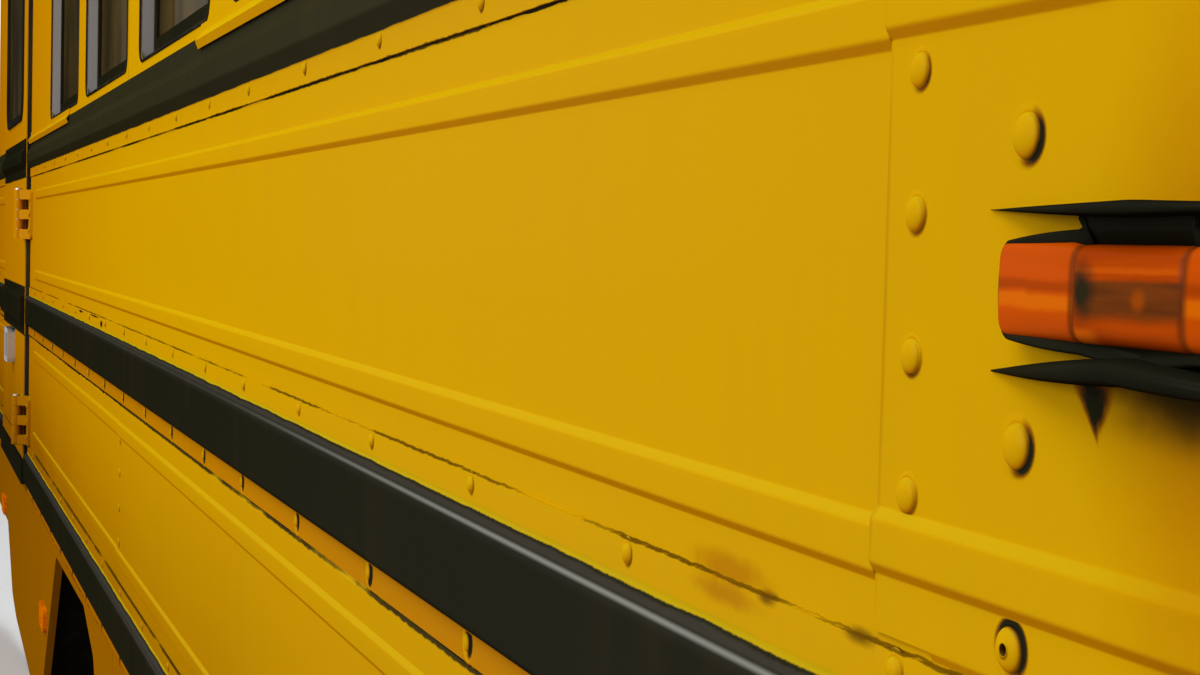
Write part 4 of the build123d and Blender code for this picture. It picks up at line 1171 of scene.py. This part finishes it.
@dataclass
class Sealant:
    """Ragged beads of old sealant and growth along the laps; under the seat rail they are thickened to stand
    also for painted shadow.
    """

    proud: float = 0.0005
    beads: tuple[Bead, ...] = (
        # Under the seat rail's lower edge: sealant and dirt, with a second bead that adds painted shadow.
        Bead(SEAT_RAIL_LOW - 0.0018, 0.0036, 0.42, 1.6),
        Bead(SEAT_RAIL_LOW - 0.0030, 0.0026, 0.75, 1.7),
        Bead(UPPER_RAIL_LOW - 0.0003, 0.0016, 0.45, 1.1),
        Bead(FLOOR_RAIL_TOP + 0.0003, 0.0016, 0.65, 1.1),
        Bead(FLOOR_RAIL_LOW - 0.0025, 0.0026, 0.45, 1.3),
    )

    def build(self, shop: FinishShop) -> None:
        """Makes the beads, ahead of the door and behind it, as one piece."""
        runs = (
            (PLAN.front_x - 0.002, PLAN.opening_front_x + 0.002),
            (PLAN.opening_rear_x - 0.002, PLAN.rear_x + 0.002),
        )
        shape = joined([
            bead.run(*ends, self.proud, 40 + 7 * number)
            for number, bead in enumerate(self.beads) for ends in runs
        ])
        closed_piece("sealant_lines", shape, shop.plain(SEALANT_FINISH), Body.SIDE)


@dataclass
class WindowRubber:
    """Black rubber round each window opening."""

    clear_width: float = 0.570
    corner: float = 0.024
    sill: float = 0.726
    head: float = 1.376
    bead: float = 0.004
    proud: float = 0.002

    def build(self, shop: FinishShop) -> None:
        """Makes the beads round the openings, which lie midway between the posts."""
        middle = PLAN.post_x(np.arange(PLAN.bay_count) + 0.5)
        reach = self.clear_width / 2
        low, high = (
            np.stack([middle + side * reach, np.full(middle.size, level)], -1) + side * self.bead / 4
            for side, level in ((-1, self.sill), (1, self.head))
        )
        shape = loop_strip(rounded_outline(low, high, self.corner), self.bead, self.proud, PLAN.skin_y)
        closed_piece("window_seals", shape, shop.plain(RUBBER_FINISH), Body.SIDE)


@dataclass
class MarkerLens:
    """The marker lamp's orange lens, with a fluted face and softly rounded ends."""

    half_length: float = 0.0722
    half_height: float = 0.0129
    rise: float = 0.0005
    swell: float = 0.0008
    corner: float = 0.0065
    flat: float = 0.023
    shoulder: float = 0.0085
    proud: float = 0.0156
    base: float = 0.0046

    def build(self, shop: FinishShop) -> None:
        """Makes the lens over its CAD node.

        In words: along the lamp the stand-off rises from the shoulder at the ends to a flat
        middle by a power of the share of the way, and a narrow groove marks each end of the
        flat. Across the lamp the section is a superellipse of power 5. Towards the ends the
        half height shrinks on a quarter circle, and past the flat the top is swollen.
        """
        middle_z = LAMP.z + self.rise
        along = np.linspace(-1, 1, 241) * self.half_length
        end = np.abs(along)
        past = np.clip(end - (self.half_length - self.corner), 0, self.corner)
        half = self.half_height - self.corner + np.sqrt(np.clip(self.corner**2 - past**2, 1e-9, None))
        share = np.clip((self.half_length - end) / (self.half_length - self.flat), 0, 1)
        stand = self.shoulder + (self.proud - self.shoulder) * share**0.9
        groove = 0.0006 * np.exp(-(((end - self.flat) / 0.0009) ** 2))
        depth = (stand - self.base - groove) * np.clip(1 - (past / self.corner) ** 6, 0, 1)
        across, out = superellipse(np.linspace(0, np.pi, 41), 5)
        ease = np.clip((end - self.flat) / 0.006, 0, 1)
        top = self.swell * (ease**2 * (3 - 2 * ease))[:, None] * np.clip(across, 0, 1)
        x = np.repeat((LAMP.x + along)[:, None], out.size, 1)
        z = middle_z + half[:, None] * across + top
        front = np.stack([x, PLAN.skin(self.base) - depth[:, None] * out, z], -1)
        back = np.stack([x[:, :2], np.full((along.size, 2), PLAN.skin(self.base)), z[:, [-1, 0]]], -1)
        points = np.concatenate([front, back], 1)
        shape = (points.reshape(-1, 3), tube_faces(*points.shape[:2]))
        made = closed_piece("marker_lens", shape, shop.lens(middle_z, self.flat), Body.SIDE)
        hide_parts("lamp_lens")


@dataclass
class MarkerGuard:
    """The moulded guard round the marker lens: a rim that swells into webs, and two long fins.

    Lengths along the lamp are distances from its middle, the same both ways.
    """

    upper_reach: float = 0.0862
    lower_reach: float = 0.0832
    fin_proud: float = 0.0200
    fin_root: float = PLAN.lap
    rim_end: float = 0.0728
    web_end: float = 0.0255
    slot_depth: float = 0.0022
    web_proud: float = 0.0128
    end_proud: float = 0.0075
    edge: float = 0.0010

    def _fin(self, share: np.ndarray, reach: float, top: np.ndarray, bottom: np.ndarray) -> Shape:
        """One fin, a blade that thins to a point at both ends.

        In words: its stand-off falls to nearly nothing on a cosine of the share of the way to
        the tip, and its section is a superellipse of power 4 between the two sides.

        Args:
            share: Signed share of the way to the tip at each section.
            reach: Half length of the blade.
            top: Level of its upper side at each section.
            bottom: Level of its lower side at each section.

        Returns:
            Corners and faces.
        """
        stand = 0.0008 + (self.fin_proud - self.fin_root) * np.cos(np.abs(share) * np.pi / 2) ** 1.2
        across, out = superellipse(np.linspace(0, 2 * np.pi, 28, endpoint=False), 4)
        half = np.maximum((top - bottom) / 2, 0.00012)
        points = np.stack([
            np.repeat((LAMP.x + share * reach)[:, None], out.size, 1),
            PLAN.skin(self.fin_root) - stand[:, None] * np.clip(out, -0.02, 1),
            ((top + bottom) / 2)[:, None] + half[:, None] * across,
        ], -1)
        return points.reshape(-1, 3), tube_faces(*points.shape[:2])

    def fins(self) -> list[Shape]:
        """Both fins.

        In words: the levels of their sides are curves in the share of the way to the tip.

        Returns:
            Corners and faces of each.
        """
        quarter = np.linspace(0, np.pi / 2, 41)
        share = np.concatenate([-np.cos(quarter), np.cos(quarter[::-1])[1:]])
        far = np.abs(share)
        bulge = far * (1 - far)
        upper = (0.5261 - 0.0016 * far**3 - 0.0028 * bulge, 0.5215 + 0.0029 * far**1.3)
        lower = (0.4872 - 0.0085 * far**1.25, 0.4796 - 0.0015 * far - 0.0030 * bulge)
        return [self._fin(share, self.upper_reach, *upper), self._fin(share, self.lower_reach, *lower)]

    def _outline(self) -> np.ndarray:
        """Outline of the whole rim.

        In words: a quarter turn from the end up to the rim, a gentle rise along the rim to the
        slot, an elliptical hollow round the slot's end, and on inside the fin. Below, the rim
        sinks to the web's corner with no hollow. The other end is its mirror image.

        Returns:
            Its corners as (distance from the middle, z), closed, (n, 2).
        """
        bend = np.linspace(0, np.pi / 2, 9)
        run = np.linspace(0, 1, 14)[1:, None]

        def side(turn: float, height: float, to_x: float, to_z: float) -> np.ndarray:
            """One corner and the rim's run on from it to a point.

            Args:
                turn: How far the corner reaches in from the end.
                height: How far it reaches up, or down where it is negative.
                to_x: Distance of the point from the middle.
                to_z: Level of the point.

            Returns:
                Corners of the outline, (n, 2).
            """
            corner = np.stack([
                self.rim_end - turn * (1 - np.cos(bend)), 0.5017 + height * np.sin(bend) ** 0.8,
            ], -1)
            rim = corner[-1] + run * (np.array([to_x, to_z]) - corner[-1])
            rim[:, 1] += np.sign(height) * 0.0003 * np.sin(run[:, 0] * np.pi)
            return np.concatenate([corner, rim])

        def bridge(reach: float, level: float) -> np.ndarray:
            """A level run between the two halves, without its ends."""
            return (np.linspace(reach, -reach, 12)[:, None] * [1, 0] + [0, level])[1:-1]

        hollow = np.linspace(-np.pi / 2, np.pi / 2, 11)[1:]
        slot = np.stack([
            self.web_end - self.slot_depth * np.cos(hollow), 0.52065 + 0.00165 * np.sin(hollow),
        ], -1)
        over = np.concatenate([side(0.0070, 0.0142, self.web_end, 0.5188), slot])
        under = side(0.0085, -0.0136, self.web_end - 0.001, 0.4864)
        flip = np.array([-1.0, 1.0])
        return np.concatenate([
            over, bridge(self.web_end, 0.5240), (over * flip)[::-1], (under * flip)[1:],
            bridge(self.web_end - 0.003, 0.4826), under[::-1][:-1],
        ])

    def rim(self) -> Shape:
        """The rim and webs, a rounded wall that is closed behind the lens.

        In words: the outline stands on the sheet, rises to the rim's stand-off, turns in on a
        quarter circle, dips towards the lens and goes back to the sheet inside it. The
        stand-off falls from the webs to the ends on a cosine.

        Returns:
            Corners and faces.
        """
        outline = self._outline()
        ahead = np.roll(outline, -1, 0) - np.roll(outline, 1, 0)
        ahead /= np.linalg.norm(ahead, axis=1, keepdims=True)
        inward = np.stack([-ahead[:, 1], ahead[:, 0]], -1)
        centre = np.array([0.0, 0.5022])
        far = np.clip((np.abs(outline[:, 0]) - self.web_end) / (self.rim_end - self.web_end), 0, 1)
        stand = self.end_proud + (self.web_proud - self.end_proud) * np.cos(far * np.pi / 2)
        inner = centre + (outline - centre) * np.array([0.86, 0.55])
        root = np.full(len(outline), self.fin_root - 0.0003)
        turned = [
            (outline + inward * self.edge * (1 - np.cos(angle)), stand - self.edge * (1 - np.sin(angle)))
            for angle in np.linspace(0, np.pi / 2, 5)
        ]
        points = np.stack([
            np.stack([LAMP.x + flat[:, 0], PLAN.skin_y - proud, flat[:, 1]], -1)
            for flat, proud in [(outline, root), *turned, (inner, stand - 0.003), (inner, root)]
        ])
        rows, columns = points.shape[:2]
        return points.reshape(-1, 3), ring_faces(rows + 1, columns) % (rows * columns)

    def build(self, shop: FinishShop) -> None:
        """Makes the guard over its CAD nodes."""
        shape = joined([self.rim(), *self.fins()])
        made = closed_piece("marker_guard", shape, shop.plain(PLASTIC_FINISH), Body.SIDE)
        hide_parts("lamp_guard", "lamp_base")


@dataclass
class HingeBolts:
    """Bolt heads on the leaves of the three hinges."""

    levels: tuple[float, ...] = (0.095, 0.545, 1.300)
    spread: float = 0.034
    reach: float = 0.046
    leaf: float = 0.005
    pin_x: float = PLAN.opening_front_x - 0.006

    def build(self, shop: FinishShop) -> None:
        """Makes the heads for the body's and the door's leaves."""
        head = RivetHead(0.0065, 0.0042, sides=12, rings=3, ring_reach=1.3)
        for body, side, base in ((Body.SIDE, 1, 0.0), (Body.DOOR, -1, PLAN.skin_y - PLAN.door_y)):
            levels = tuple(level + step * self.spread for level in self.levels for step in (-1, 0, 1))
            places = Rivets.places(self.pin_x + side * self.reach, levels, base + self.leaf)
            closed_piece(f"hinge_bolts_{body.value}", head.copies(places, 12), shop.soiled, body)


# Studio


@dataclass
class PhotoCamera:
    """Camera set by the picture's two vanishing points, in pixels of a 1200 by 675 frame."""

    frame_width: float = 1200.0
    frame_height: float = 675.0
    focal: float = 2000.0
    rearward: tuple[float, float] = (-116.0, 226.0)
    lean: float = -1050.0
    place: Point = (CAMERA_X, PLAN.skin(0.3015), 0.512)

    def build(self) -> None:
        """Makes the camera.

        In words: the way to a vanishing point in the camera's own axes is its offset from the
        picture's middle and minus the focal length. The rearward one gives the wall's -X. The
        one straight down has the given sideways offset and the height that puts it square
        to the first. Their cross product gives the third axis.
        """
        data = bpy.data.cameras.new("photo_camera")
        data.sensor_width = 36.0
        data.lens = data.sensor_width * self.focal / self.frame_width
        data.clip_start, data.clip_end = 0.02, 200.0
        made = bpy.data.objects.new("photo_camera", data)
        bpy.context.scene.collection.objects.link(made)
        across = self.rearward[0] - self.frame_width / 2
        up = self.frame_height / 2 - self.rearward[1]
        drop = (self.focal**2 + across * self.lean) / up
        ahead_axis = -Vector((across, up, -self.focal)).normalized()
        up_axis = -Vector((self.lean, -drop, -self.focal)).normalized()
        turned = Matrix((ahead_axis, up_axis.cross(ahead_axis), up_axis)).to_4x4()
        made.matrix_world = Matrix.Translation(self.place) @ turned
        bpy.context.scene.camera = made
        LOG.info("camera at %s", tuple(round(v, 4) for v in made.location))


@dataclass(frozen=True)
class Softbox:
    """An area lamp: where it hangs, what it faces, its two sides and its power."""

    name: str
    place: Point
    target: Point
    width: float
    height: float
    power: float

    def build(self) -> None:
        """Makes the lamp."""
        data = bpy.data.lights.new(self.name, "AREA")
        data.shape = "RECTANGLE"
        data.size, data.size_y, data.energy = self.width, self.height, self.power
        made = bpy.data.objects.new(self.name, data)
        made.location = self.place
        made.rotation_euler = (Vector(self.target) - Vector(self.place)).to_track_quat("-Z", "Y").to_euler()
        bpy.context.scene.collection.objects.link(made)


@dataclass
class Studio:
    """Pale floor, soft lamps and a plain world."""

    floor_level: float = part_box("skirt_arch")[0].z - 0.0005
    reach: float = 40.0
    softboxes: tuple[Softbox, ...] = (
        Softbox("overhead", (1.4, -3.0, 4.0), (1.0, 0.0, 0.6), 5.0, 2.4, 115.0),
        Softbox("outboard", (1.2, -6.0, 1.7), (0.8, 0.0, 0.5), 6.0, 2.5, 185.0),
        Softbox("inboard", (0.0, 4.0, 3.2), (0.0, 0.0, 0.6), 7.0, 2.4, 200.0),
    )
    floor_light: Colour = (0.14, 0.10, 0.05)
    floor_seen: Colour = (0.58, 0.58, 0.575)
    sky_low: Colour = (0.10, 0.095, 0.075)
    sky_high: Colour = (0.80, 0.81, 0.82)
    sky_seen: Colour = (0.86, 0.86, 0.85)

    def build(self) -> None:
        """Makes the floor, the lamps and the world."""
        self._floor()
        for box in self.softboxes:
            box.build()
        self._world()
        bpy.context.scene.view_settings.view_transform = "Standard"

    @staticmethod
    def _open(owner: Material | bpy.types.World) -> tuple[Wiring, Socket]:
        """Clears a node tree of the background.

        Args:
            owner: The material or world that has the tree.

        Returns:
            Its wiring, and a number that is one on rays by which the camera sees the
            background, straight, mirrored or through glass.
        """
        owner.use_nodes = True
        owner.node_tree.nodes.clear()
        wire = Wiring(owner.node_tree)
        path = wire.add("LightPath").outputs
        mirrored = wire.math("MAXIMUM", path["Is Glossy Ray"], path["Is Transmission Ray"])
        return wire, wire.math("MAXIMUM", path["Is Camera Ray"], mirrored)

    def _floor(self) -> None:
        """A wide square floor, pale where it is seen and darker in the light it throws back."""
        points = np.array([(-1, -1, 0), (1, -1, 0), (1, 1, 0), (-1, 1, 0)]) * self.reach
        points[:, 2] = self.floor_level
        made = mesh_object("studio_floor", points, np.array([[0, 1, 2, 3]]), False)
        material = bpy.data.materials.new("studio_floor")
        wire, seen = self._open(material)
        colour = wire.blend(seen, self.floor_light, self.floor_seen)
        shader = wire.add("BsdfPrincipled", {"Base Color": colour, "Roughness": 0.9})
        wire.add("OutputMaterial", {"Surface": shader.outputs[0]})
        made.data.materials.append(material)

    def _world(self) -> None:
        """A world that is pale where it is seen, and lights the rest as a sky that is dim low down."""
        world = bpy.data.worlds.new("studio")
        bpy.context.scene.world = world
        wire, seen = self._open(world)
        up = wire.axes(wire.add("TexCoord").outputs["Generated"])[2]
        sky = wire.blend(wire.ramp(up, 0.02, 0.75), self.sky_low, self.sky_high)
        background = wire.add("Background", {"Color": wire.blend(seen, sky, self.sky_seen), "Strength": 1.0})
        wire.add("OutputWorld", {"Surface": background.outputs[0]})


def main() -> None:
    """Builds every sub-assembly and the studio."""
    logging.basicConfig(level=logging.INFO, format="%(name)s: %(message)s")
    shop = FinishShop()
    for assembly in (
        PaintedSheets, Rivets, Stains, Sealant, WindowRubber, MarkerLens, MarkerGuard, HingeBolts,
    ):
        assembly().build(shop)
    Studio().build()
    PhotoCamera().build()


if __name__ == "__main__":
    main()
